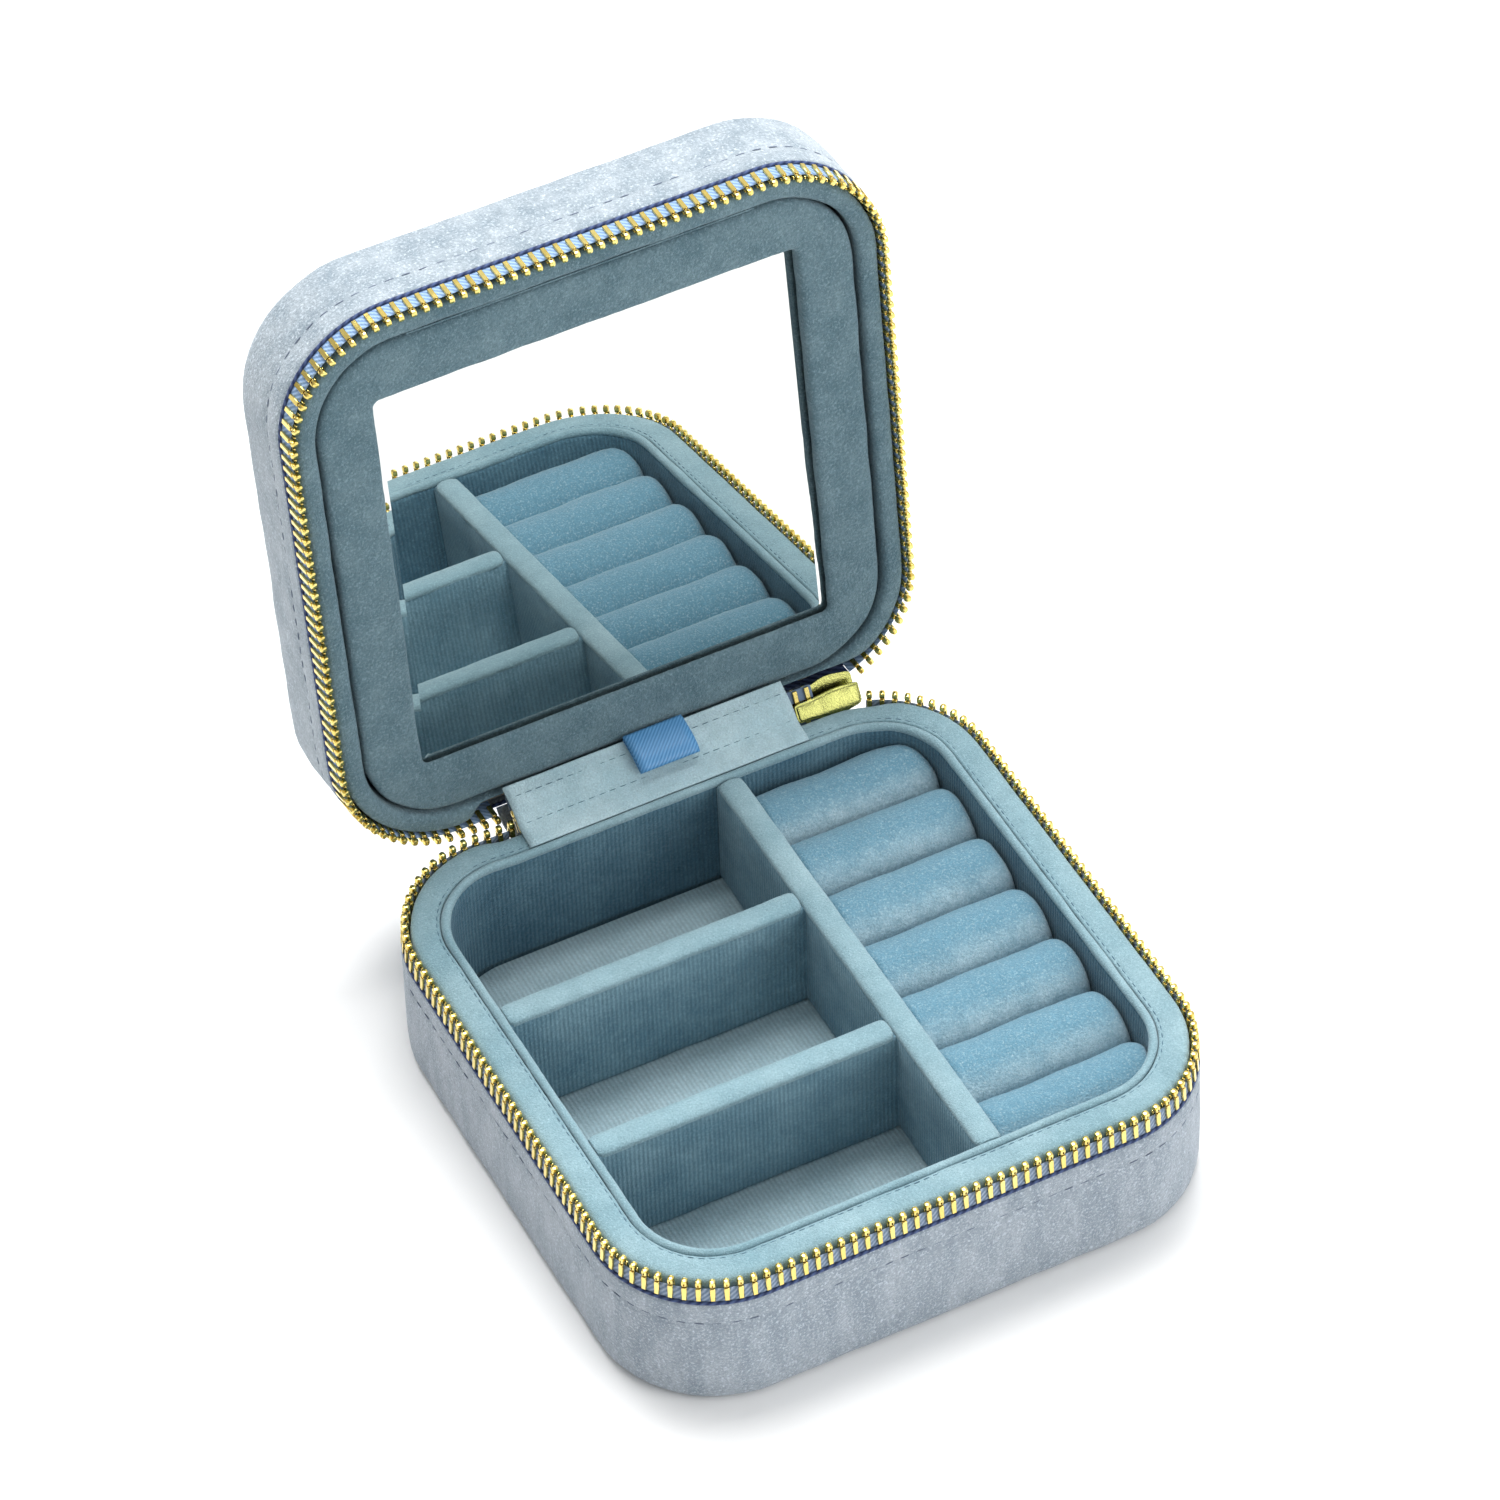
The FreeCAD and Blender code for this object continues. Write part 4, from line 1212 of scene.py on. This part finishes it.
# ---- lining --------------------------------------------------------------------------------
@dataclass
class TrayLining:
    """Padded rim, ribbed tray wall, floor and dividers of the base."""

    rim_out: float = 2.45
    rim_in: float = 6.2
    wall_in: float = 7.6

    def build(self, finishes: Finishes) -> None:
        """Make the lining.

        Args:
            finishes: The case's finishes.
        """
        rim = sweep(padded_rows(self.rim_profile(False), self.rim_profile(True)), tube=True)
        soften(rim, 0.1, 6.0, 3.1)
        made = piece("base_rim_pad", rim, finishes.rim, "base")
        Pile.later(made)
        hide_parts("base_liner_rim")
        wall = sweep([SHELL.row(i, z) for i, z in self.wall_profile()], tube=True)
        soften(wall, 0.14, 5.0, 7.7)
        made = piece("tray_wall_velvet", wall, finishes.wall, "base")
        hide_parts("tray_wall")
        roll = sweep(padded_rows(self.roll_profile(24.55), self.roll_profile(24.9)), tube=True)
        soften(roll, 0.12, 4.0, 5.3)
        made = piece("tray_wall_roll", roll, finishes.rim, "base")
        Pile.later(made)
        dress("tray_floor", finishes.floor)
        dress("base_shell_board", finishes.board)
        thread = Stitch(1.0, 0.55, 0.17).sew(
            [(s.point - s.outward * 5.62
              + Vector((0, 0, 25.0 + 0.3 * clear_of_hinge(s.point)
                        + 0.06 * noise.noise(Vector((s.along / 4, 0, 0))))), Vector((0, 0, 1)))
             for s in SHELL.stations()], closed=True)
        piece("rim_stitches", thread, finishes.thread, "base")
        self.dividers(finishes)

    def rim_profile(self, full: bool) -> list[tuple[float, float]]:
        """Section of the padded rim.

        Args:
            full: The rim fills the space up to the zip.

        Returns:
            Insets and heights.
        """
        b = self.rim_in
        a, lift = (1.58, 0.32) if full else (self.rim_out, 0.0)
        return [(self.rim_out, 8.0), (self.rim_out, 20.2), (a, 21.9), (a, 23.9),
                (a + 0.08, 24.5 + lift), (a + 0.35, 24.9 + lift), (a + 0.9, 25.12 + lift),
                (a + 1.7, 25.2 + lift), (b - 1.3, 25.16 + lift), (b - 0.8, 25.06 + lift),
                (b - 0.58, 24.94 + lift), (b - 0.38, 25.06 + lift), (b - 0.15, 24.95 + lift),
                (b - 0.02, 24.6 + lift), (b, 24.0), (b, 20.0), (b, 8.0)]

    def wall_profile(self) -> list[tuple[float, float]]:
        """Section of the ribbed wall, as insets and heights."""
        a, b = self.rim_in + 0.1, self.wall_in
        return [(a + 0.3, 3.1), (a + 0.3, 12.0), (a + 0.3, 24.4), (b - 0.3, 24.5),
                (b - 0.05, 24.2), (b, 23.6), (b, 20.0), (b, 15.0), (b, 10.0), (b, 6.0),
                (b, 5.0), (b - 0.1, 4.6), (b - 0.42, 4.35), (b - 0.5, 3.9), (b - 0.5, 3.1)]

    def roll_profile(self, centre: float) -> list[tuple[float, float]]:
        """Section of the soft roll along the top of the wall.

        Args:
            centre: Height of its middle.

        Returns:
            Insets and heights.
        """
        a, b = self.rim_in + 0.02, self.wall_in + 0.06
        middle, half = (a + b) / 2, (b - a) / 2
        points = []
        for k in range(12):
            turn = math.radians(30 * k)
            points.append((middle - half * math.cos(turn), centre + 0.82 * math.sin(turn)))
        return points

    def dividers(self, finishes: Finishes) -> None:
        """Make the long divider and the two cross dividers.

        Args:
            finishes: The case's finishes.
        """
        runs = {
            "divider_long": (Vector((10.1, -41.75, 0)), Vector((10.1, 41.75, 0)), 2.1),
            "divider_cross_front": (Vector((-41.15, -14.67, 0)), Vector((8.05, -14.67, 0)), 2.15),
            "divider_cross_rear": (Vector((-41.15, 14.67, 0)), Vector((8.05, 14.67, 0)), 2.15),
        }
        for seed, (name, (start, stop, half)) in enumerate(runs.items()):
            top = 25.3 if name == "divider_long" else 25.12
            walls = self.divider(start, stop, half, top)
            soften(walls, 0.16, 5.5, 11.0 + seed)
            made = piece(f"{name}_pad", walls, finishes.divider, "base")
            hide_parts(name)
            cap = self.divider_cap(start, stop, half, top)
            soften(cap, 0.1, 4.0, 21.0 + seed)
            made = piece(f"{name}_cap", cap, finishes.rim, "base")
            Pile.later(made)

    def line(self, start: Vector, stop: Vector, side: Vector, off: float, z: float) -> Row:
        """A row of points along a divider.

        Args:
            start: One end.
            stop: Other end.
            side: Unit vector across it.
            off: Distance from its middle plane.
            z: Height.

        Returns:
            The row.
        """
        steps = max(2, round((stop - start).length / 1.5))
        return [start.lerp(stop, k / steps) + side * off + Vector((0, 0, z))
                for k in range(steps + 1)]

    def divider(self, start: Vector, stop: Vector, half: float, top: float) -> bmesh.types.BMesh:
        """Ribbed body of a divider, up to just under its top.

        Args:
            start: One end.
            stop: Other end.
            half: Half its thickness.
            top: Height of its top.

        Returns:
            The mesh.
        """
        side = Vector((0, 0, 1)).cross((stop - start).normalized())
        profile = [(-half + 0.5, 4.06), (-half + 0.42, 4.4), (-half + 0.08, 4.65), (-half, 5.1),
                   (-half, 9.0), (-half, 14.0), (-half, 19.0),
                   (-half, top - 1.3), (-half + 0.3, top - 0.9), (half - 0.3, top - 0.9),
                   (half, top - 1.3), (half, 19.0), (half, 14.0), (half, 9.0), (half, 5.1),
                   (half - 0.08, 4.65), (half - 0.42, 4.4), (half - 0.5, 4.06)]
        shape = sweep([self.line(start, stop, side, o, z) for o, z in profile], loop=False,
                      tube=True)
        close_ends(shape)
        return shape

    def divider_cap(self, start: Vector, stop: Vector, half: float,
                    top: float) -> bmesh.types.BMesh:
        """Rounded suede top of a divider.

        Args:
            start: One end.
            stop: Other end.
            half: Half its thickness.
            top: Height of its top.

        Returns:
            The mesh.
        """
        side = Vector((0, 0, 1)).cross((stop - start).normalized())
        profile = []
        for k in range(13):
            turn = math.radians(180 * k / 12)
            lift = math.sin(turn) ** 0.6
            profile.append((-(half + 0.04) * math.cos(turn), top - 1.35 + 1.35 * lift))
        profile.append((half - 0.3, top - 1.6))
        profile.append((-half + 0.3, top - 1.6))
        shape = sweep([self.line(start, stop, side, o, z) for o, z in profile], loop=False,
                      tube=True)
        close_ends(shape)
        return shape


@dataclass
class RingRolls:
    """Stuffed velvet rolls that grip rings between them."""

    count: int = 7
    left: float = 12.42
    right: float = 41.0
    half_y: float = 41.65
    bottom: float = 9.1
    top: float = 22.7
    crown: float = 5.9
    corner: float = 11.4
    corner_x: float = 29.6
    corner_y: float = 30.2

    def build(self, finishes: Finishes) -> None:
        """Make every roll, and dress what is under them.

        Args:
            finishes: The case's finishes.
        """
        pitch = 2 * self.half_y / self.count
        for number in range(self.count):
            middle = -self.half_y + pitch * (number + 0.5)
            shape = self.roll(middle, pitch / 2 - 0.02)
            soften(shape, 0.28, 7.0, 31.0 + 3 * number)
            soften(shape, 0.10, 2.2, 61.0 + number)
            made = piece(f"ring_roll_{number + 1}_plush", shape, finishes.roll, "base",
                         crease=80)
            Pile.later(made, 0.12, 0.5)
            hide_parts(f"ring_roll_{number + 1}")
        # The foam cores lie inside the rolls, where nothing shows them.
        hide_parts("ring_roll_cores")
        dress("ring_bed", finishes.board)

    def section(self, half: float, rise: float) -> list[tuple[float, float]]:
        """Flat-bottomed section with a round top.

        Args:
            half: Half its width.
            rise: Share of its full height.

        Returns:
            Distances from its middle with heights.
        """
        centre = self.top - self.crown
        points = [(-half, self.bottom), (-half, 12.0), (-half, 14.5)]
        for k in range(15):
            turn = math.radians(180 - 180 * k / 14)
            points.append((half * math.cos(turn), centre + self.crown * math.sin(turn) ** 0.9))
        points += [(half, 14.5), (half, 12.0), (half, self.bottom), (0.0, self.bottom)]
        return [(y, self.bottom + (z - self.bottom) * rise) for y, z in points]

    def roll(self, middle: float, half: float) -> bmesh.types.BMesh:
        """One roll, domed at its outer end.

        Args:
            middle: Its place along Y.
            half: Half its width.

        Returns:
            The mesh.
        """
        steps, dome = 22, 3.2
        inner = self.right - dome
        spans = [(self.left + (inner - self.left) * k / steps, 1.0) for k in range(steps + 1)]
        for k in range(1, 9):
            turn = math.radians(90 * k / 9)
            spans.append((inner + dome * math.sin(turn), math.cos(turn) ** 0.55))
        rows = [[self.kept_in(Vector((x, middle + y, z)))
                 for y, z in self.section(half * (0.72 + 0.28 * full), 0.62 + 0.38 * full)]
                for x, full in spans]
        shape = sweep(rows, loop=True)
        close_ends(shape)
        return shape

    def kept_in(self, spot: Vector) -> Vector:
        """Move a point inside the tray's round corner if it lies beyond it."""
        centre = Vector((self.corner_x, math.copysign(self.corner_y, spot.y), spot.z))
        out = spot - centre
        if spot.x > centre.x and abs(spot.y) > self.corner_y and out.length > self.corner:
            return centre + out.normalized() * self.corner
        return spot


# ---- lid -----------------------------------------------------------------------------------
@dataclass
class LidLining:
    """Padded rim of the lid, and what lies behind the mirror panel."""

    rim_out: float = 2.45
    rim_in: float = 4.8
    scoop: float = 5.5
    scoop_left: float = -27.0
    scoop_right: float = 37.2

    def build(self, finishes: Finishes) -> None:
        """Make the rim, and dress the hidden parts.

        Args:
            finishes: The case's finishes.
        """
        rim = sweep(padded_rows(self.profile(self.rim_out), self.profile(1.6)), tube=True)
        soften(rim, 0.14, 5.0, 17.0)
        for vertex in rim.verts:
            off = Vector((0, vertex.co.y - HINGE.y, vertex.co.z - HINGE.z))
            if self.scoop_left < vertex.co.x < self.scoop_right and off.length < self.scoop:
                out = off.normalized() * self.scoop
                vertex.co.y, vertex.co.z = HINGE.y + out.y, HINGE.z + out.z
        made = piece("lid_rim_pad", rim, finishes.frame, "lid", Place.LID, 60)
        Pile.later(made)
        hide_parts("lid_liner_rim")
        dress("lid_lining", finishes.frame)
        dress("lid_shell_board", finishes.board)
        dress("keeper_post", finishes.steel)
        dress("panel_hinge_tape", finishes.frame)

    def profile(self, out: float) -> list[tuple[float, float]]:
        """Section of the lid's padded rim.

        Args:
            out: Inset of its outer face near its edge.

        Returns:
            Insets and heights.
        """
        a, b = self.rim_out, self.rim_in
        return [(a, 39.5), (a, 32.0), (a, 30.2), (out, 28.6), (out, 27.0), (out + 0.1, 26.3),
                (out + 0.4, 25.92), (out + 0.9, 25.74), (b - 0.9, 25.78), (b - 0.4, 25.98),
                (b - 0.05, 26.4), (b, 27.0), (b, 29.0), (b, 32.0), (b, 39.5)]


@dataclass
class MirrorPanel:
    """Swinging panel with a padded frame and its mirror; the ribbon that pulls it is made with the
    hinge cloth.
    """

    face_z: float = 26.3
    glass_z: float = 28.1
    glass_lean: float = 0.019
    back_z: float = 30.0
    window: float = 34.4
    outer: Outline = field(default_factory=lambda: Outline(43.5, 44.1, 13.9))

    def build(self, finishes: Finishes) -> None:
        """Make the panel.

        Args:
            finishes: The case's finishes.
        """
        shape = sweep(self.frame_rows(), tube=True)
        soften(shape, 0.2, 4.5, 43.0)
        made = piece("mirror_frame_pad", shape, finishes.frame, "mirror_panel", Place.LID,
                     60)
        Pile.later(made)
        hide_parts("mirror_frame")
        self.glass(finishes)
        dress("mirror_backboard", finishes.frame)
        dress("panel_magnet", finishes.nickel)

    def frame_rows(self) -> list[Row]:
        """Rows from the frame's back, over its face and into the window.

        Returns:
            The rows.
        """
        outer = self.outer.stations()
        inner = Outline(self.window, self.window, 1.2).stations()
        f = self.face_z
        rows = [
            [s.point - s.outward * i + Vector((0, 0, z)) for s in outer]
            for i, z in ((0.1, self.back_z - 0.05), (0.0, 28.6), (0.0, 27.6), (0.12, 26.95),
                         (0.45, 26.55), (1.0, 26.34), (1.8, f - 0.02))
        ]
        for share, z in ((0.35, f - 0.1), (0.55, f - 0.1), (0.75, f - 0.05)):
            rows.append([o.point.lerp(i.point, share) + Vector((0, 0, z))
                         for o, i in zip(outer, inner)])
        rows += [
            [s.point + s.outward * i + Vector((0, 0, z)) for s in inner]
            for i, z in ((1.1, f), (0.6, f + 0.1), (0.22, f + 0.36), (0.02, f + 0.8))
        ]
        for step, drop in ((0.0, 0.35), (0.06, 0.0), (1.4, 0.0)):
            rows.append([self.on_glass(s.point + s.outward * step, -drop) for s in inner])
        rows.append([s.point + s.outward * 1.4 + Vector((0, 0, self.back_z - 0.05))
                     for s in inner])
        return rows

    def on_glass(self, point: Vector, rise: float) -> Vector:
        """Lift a point to the face of the glass.

        Args:
            point: A point in plan.
            rise: Distance behind the face.

        Returns:
            The lifted point.
        """
        return Vector((point.x, point.y, self.glass_z - self.glass_lean * point.y + rise))

    def glass(self, finishes: Finishes) -> None:
        """Mirror glass with a fine bevel ground along its edges.

        Args:
            finishes: The case's finishes.
        """
        edge = self.window + 1.2
        rows = []
        for shrink, rise in ((0.0, 1.25), (0.0, 0.5), (2.4, 0.02), (3.4, 0.02)):
            outline = Outline(edge - shrink, edge - shrink, 0.5, 3, 6)
            rows.append([self.on_glass(s.point, rise) for s in outline.stations()])
        shape = sweep(rows)
        close_ends(shape)
        made = piece("mirror_plate", shape, finishes.mirror, "mirror_panel", Place.LID,
                     2)
        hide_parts("mirror_glass")


# ---- cloth ---------------------------------------------------------------------------------
@dataclass
class HingeCloth:
    """The two cloth strips across the hinge, and the ribbon loop over them."""

    left: float = -22.8
    right: float = 24.6

    def build(self, finishes: Finishes) -> None:
        """Make the inner gusset, the outer spine and the ribbon.

        Args:
            finishes: The case's finishes.
        """
        path = self.curve([(43.05, 25.22), (43.7, 25.5), (45.2, 25.7), (46.8, 26.15), (47.7, 27.0),
                           (48.9, 28.0), (50.2, 28.75), (51.4, 29.25), (52.35, 29.75)])
        shape = self.strip(path, self.left, self.right)
        soften(shape, 0.12, 6.0, 77.0)
        gusset = piece("hinge_gusset_cloth", shape, finishes.gusset, "base",
                       ride=False)
        self.thicken(gusset, 0.5)
        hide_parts("hinge_gusset")
        self.length(path) * MM
        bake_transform(gusset)
        self.seams(path, finishes)
        back = self.curve([(49.0, 21.85), (50.0, 21.6), (51.4, 21.15), (53.0, 21.1),
                           (54.4, 21.9), (55.2, 22.9)])
        shape = self.strip(back, self.left, self.right)
        spine = piece("hinge_spine_cloth", shape, finishes.outer, "base",
                      ride=False)
        self.thicken(spine, 0.5)
        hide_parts("hinge_spine")
        max(10.0, self.length(back)) * MM
        47.4 * MM * self.length(back) * MM
        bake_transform(spine)
        self.ribbon(finishes)

    @staticmethod
    def curve(knots: list[tuple[float, float]]) -> list[tuple[float, float]]:
        """Smooth line through some points.

        Args:
            knots: Points as Y and Z.

        Returns:
            More points on a smooth line through them.
        """
        line = []
        padded = [knots[0], *knots, knots[-1]]
        for p0, p1, p2, p3 in zip(padded, padded[1:], padded[2:], padded[3:]):
            for k in range(4):
                t = k / 4
                line.append(tuple(
                    0.5 * (2 * b + (c - a) * t + (2 * a - 5 * b + 4 * c - d) * t * t
                           + (3 * b - a - 3 * c + d) * t ** 3)
                    for a, b, c, d in zip(p0, p1, p2, p3)))
        return [*line, knots[-1]]

    @staticmethod
    def length(path: list[tuple[float, float]]) -> float:
        """Length of a line of points, in millimetres."""
        return sum(math.dist(a, b) for a, b in zip(path, path[1:]))

    @staticmethod
    def strip(path: list[tuple[float, float]], left: float, right: float) -> bmesh.types.BMesh:
        """Flat strip of cloth along X that follows a path.

        Args:
            path: Points as Y and Z.
            left: X of one edge.
            right: X of the other edge.

        Returns:
            The mesh.
        """
        steps = max(4, round((right - left) / 1.2))
        rows = [[Vector((left + (right - left) * k / steps, y, z)) for k in range(steps + 1)]
                for y, z in path]
        return sweep(rows, loop=False)

    @staticmethod
    def thicken(cloth: bpy.types.Object, thickness: float) -> None:
        """Give a strip its thickness.

        Args:
            cloth: The strip.
            thickness: Thickness in millimetres.
        """
        solid = cloth.modifiers.new("thickness", "SOLIDIFY")
        solid.thickness = thickness * MM
        solid.offset = 0.0
        solid.use_even_offset = True

    def seams(self, path: list[tuple[float, float]], finishes: Finishes) -> None:
        """Two rows of topstitching across the gusset.

        Args:
            path: The gusset's section.
            finishes: The case's finishes.
        """
        for number, share in enumerate((0.42, 0.78)):
            index = round(share * (len(path) - 1))
            y, z = path[index]
            ahead = Vector((0, path[index + 1][0] - y, path[index + 1][1] - z)).normalized()
            up = Vector((0, -ahead.z, ahead.y))
            run = [(Vector((x, y, z)) + up * 0.25, up)
                   for x in range(round(self.left) + 1, round(self.right), 1)]
            thread = Stitch(1.2, 0.6, 0.14).sew(run, closed=False)
            made = piece(f"gusset_seam_{number + 1}", thread, finishes.thread, "base",
                         ride=False)
            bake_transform(made)

    def ribbon(self, finishes: Finishes) -> None:
        """Folded satin loop that pulls the mirror panel out.

        Args:
            finishes: The case's finishes.
        """
        path = self.curve([(52.4, 30.75), (50.2, 30.5), (48.2, 30.0), (46.9, 29.35), (46.35, 28.85),
                           (46.2, 28.45), (46.5, 28.3), (47.2, 28.6), (48.6, 29.25),
                           (50.4, 29.8), (52.3, 30.2)])
        shape = self.strip(path, -2.4, 7.6)
        made = piece("pull_ribbon", shape, finishes.ribbon, "mirror_panel",
                     crease=80)
        self.thicken(made, 0.22)
        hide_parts("ribbon_tab")
        self.length(path) * MM
        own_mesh(made)


# ---- setting -------------------------------------------------------------------------------
@dataclass
class Studio:
    """Plain table, soft lights and the camera."""

    camera_at: tuple[float, float, float] = (-0.30502, -0.62686, 0.78430)
    camera_turn: tuple[float, float, float] = (44.4356, 1.67496, -27.2127)
    lens: float = 166.88

    def build(self, finishes: Finishes) -> None:
        """Set the scene.

        Args:
            finishes: The case's finishes.
        """
        shape = bmesh.new()
        bmesh.ops.create_grid(shape, x_segments=4, y_segments=4, size=4000.0)
        shape.transform(Matrix.Scale(MM, 4))
        mesh = bpy.data.meshes.new("table")
        shape.to_mesh(mesh)
        shape.free()
        mesh.materials.append(finishes.table)
        table = bpy.data.objects.new("table", mesh)
        bpy.context.scene.collection.objects.link(table)
        world = bpy.data.worlds.new("studio")
        world.use_nodes = True
        tree = world.node_tree
        ahead = tree.nodes.new("ShaderNodeTexCoord")
        parts = tree.nodes.new("ShaderNodeSeparateXYZ")
        fall = tree.nodes.new("ShaderNodeMapRange")
        for key, value in {"From Min": -1.0, "From Max": 0.6, "To Min": 0.43,
                           "To Max": 0.97}.items():
            fall.inputs[key].default_value = value
        tree.links.new(ahead.outputs["Generated"], parts.inputs[0])
        tree.links.new(parts.outputs["X"], fall.inputs["Value"])
        tree.links.new(fall.outputs["Result"], tree.nodes["Background"].inputs["Strength"])
        tree.nodes["Background"].inputs["Color"].default_value = (0.98, 0.99, 1, 1)
        bpy.context.scene.world = world
        self.light("overhead", (0.12, 0.5, 1.25), (0.0, 0.02, 0.02), 0.8, 23.0)
        self.light("front_fill", (0.75, -1.0, 0.55), (0.0, 0.0, 0.03), 0.8, 6.2)
        data = bpy.data.cameras.new("view")
        data.lens = self.lens
        data.sensor_width = 36.0
        data.clip_start = 0.01
        data.clip_end = 20.0
        camera = bpy.data.objects.new("view", data)
        camera.location = self.camera_at
        camera.rotation_euler = tuple(math.radians(a) for a in self.camera_turn)
        bpy.context.scene.collection.objects.link(camera)
        bpy.context.scene.camera = camera
        bpy.context.scene.view_settings.view_transform = "Standard"

    @staticmethod
    def light(name: str, at: tuple[float, float, float], towards: tuple[float, float, float],
              size: float, power: float) -> None:
        """Add a square soft light.

        Args:
            name: Its name.
            at: Where it is, in metres.
            towards: What it points at.
            size: Its side, in metres.
            power: Its power in watts.
        """
        data = bpy.data.lights.new(name, "AREA")
        data.shape = "SQUARE"
        data.size = size
        data.energy = power
        lamp = bpy.data.objects.new(name, data)
        lamp.location = at
        lamp.rotation_euler = (Vector(towards) - Vector(at)).to_track_quat("-Z", "Y").to_euler()
        bpy.context.scene.collection.objects.link(lamp)


def main() -> None:
    """Build the case piece by piece."""
    logging.basicConfig(level=logging.INFO, format="%(name)s: %(message)s")
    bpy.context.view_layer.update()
    finishes = Finishes()
    Studio().build(finishes)
    VelvetShell("base_velvet", "base", Place.BASE, ("base_side_band", "base_bottom_panel"),
                21.4, 0.0).build(finishes)
    VelvetShell("lid_velvet", "lid", Place.LID, ("lid_side_band", "lid_top_panel"),
                29.2, 43.7, 2.4).build(finishes)
    ZipRow("base", Place.BASE, ("base_zip_tape", "base_zip_teeth"), False).build(finishes)
    ZipRow("lid", Place.LID, ("lid_zip_tape", "lid_zip_teeth", "lid_zip_teeth_by_hinge"),
           True).build(finishes)
    ZipEnds().build(finishes)
    TrayLining().build(finishes)
    RingRolls().build(finishes)
    LidLining().build(finishes)
    MirrorPanel().build(finishes)
    HingeCloth().build(finishes)
    Pile.grow()


if __name__ == "__main__":
    main()
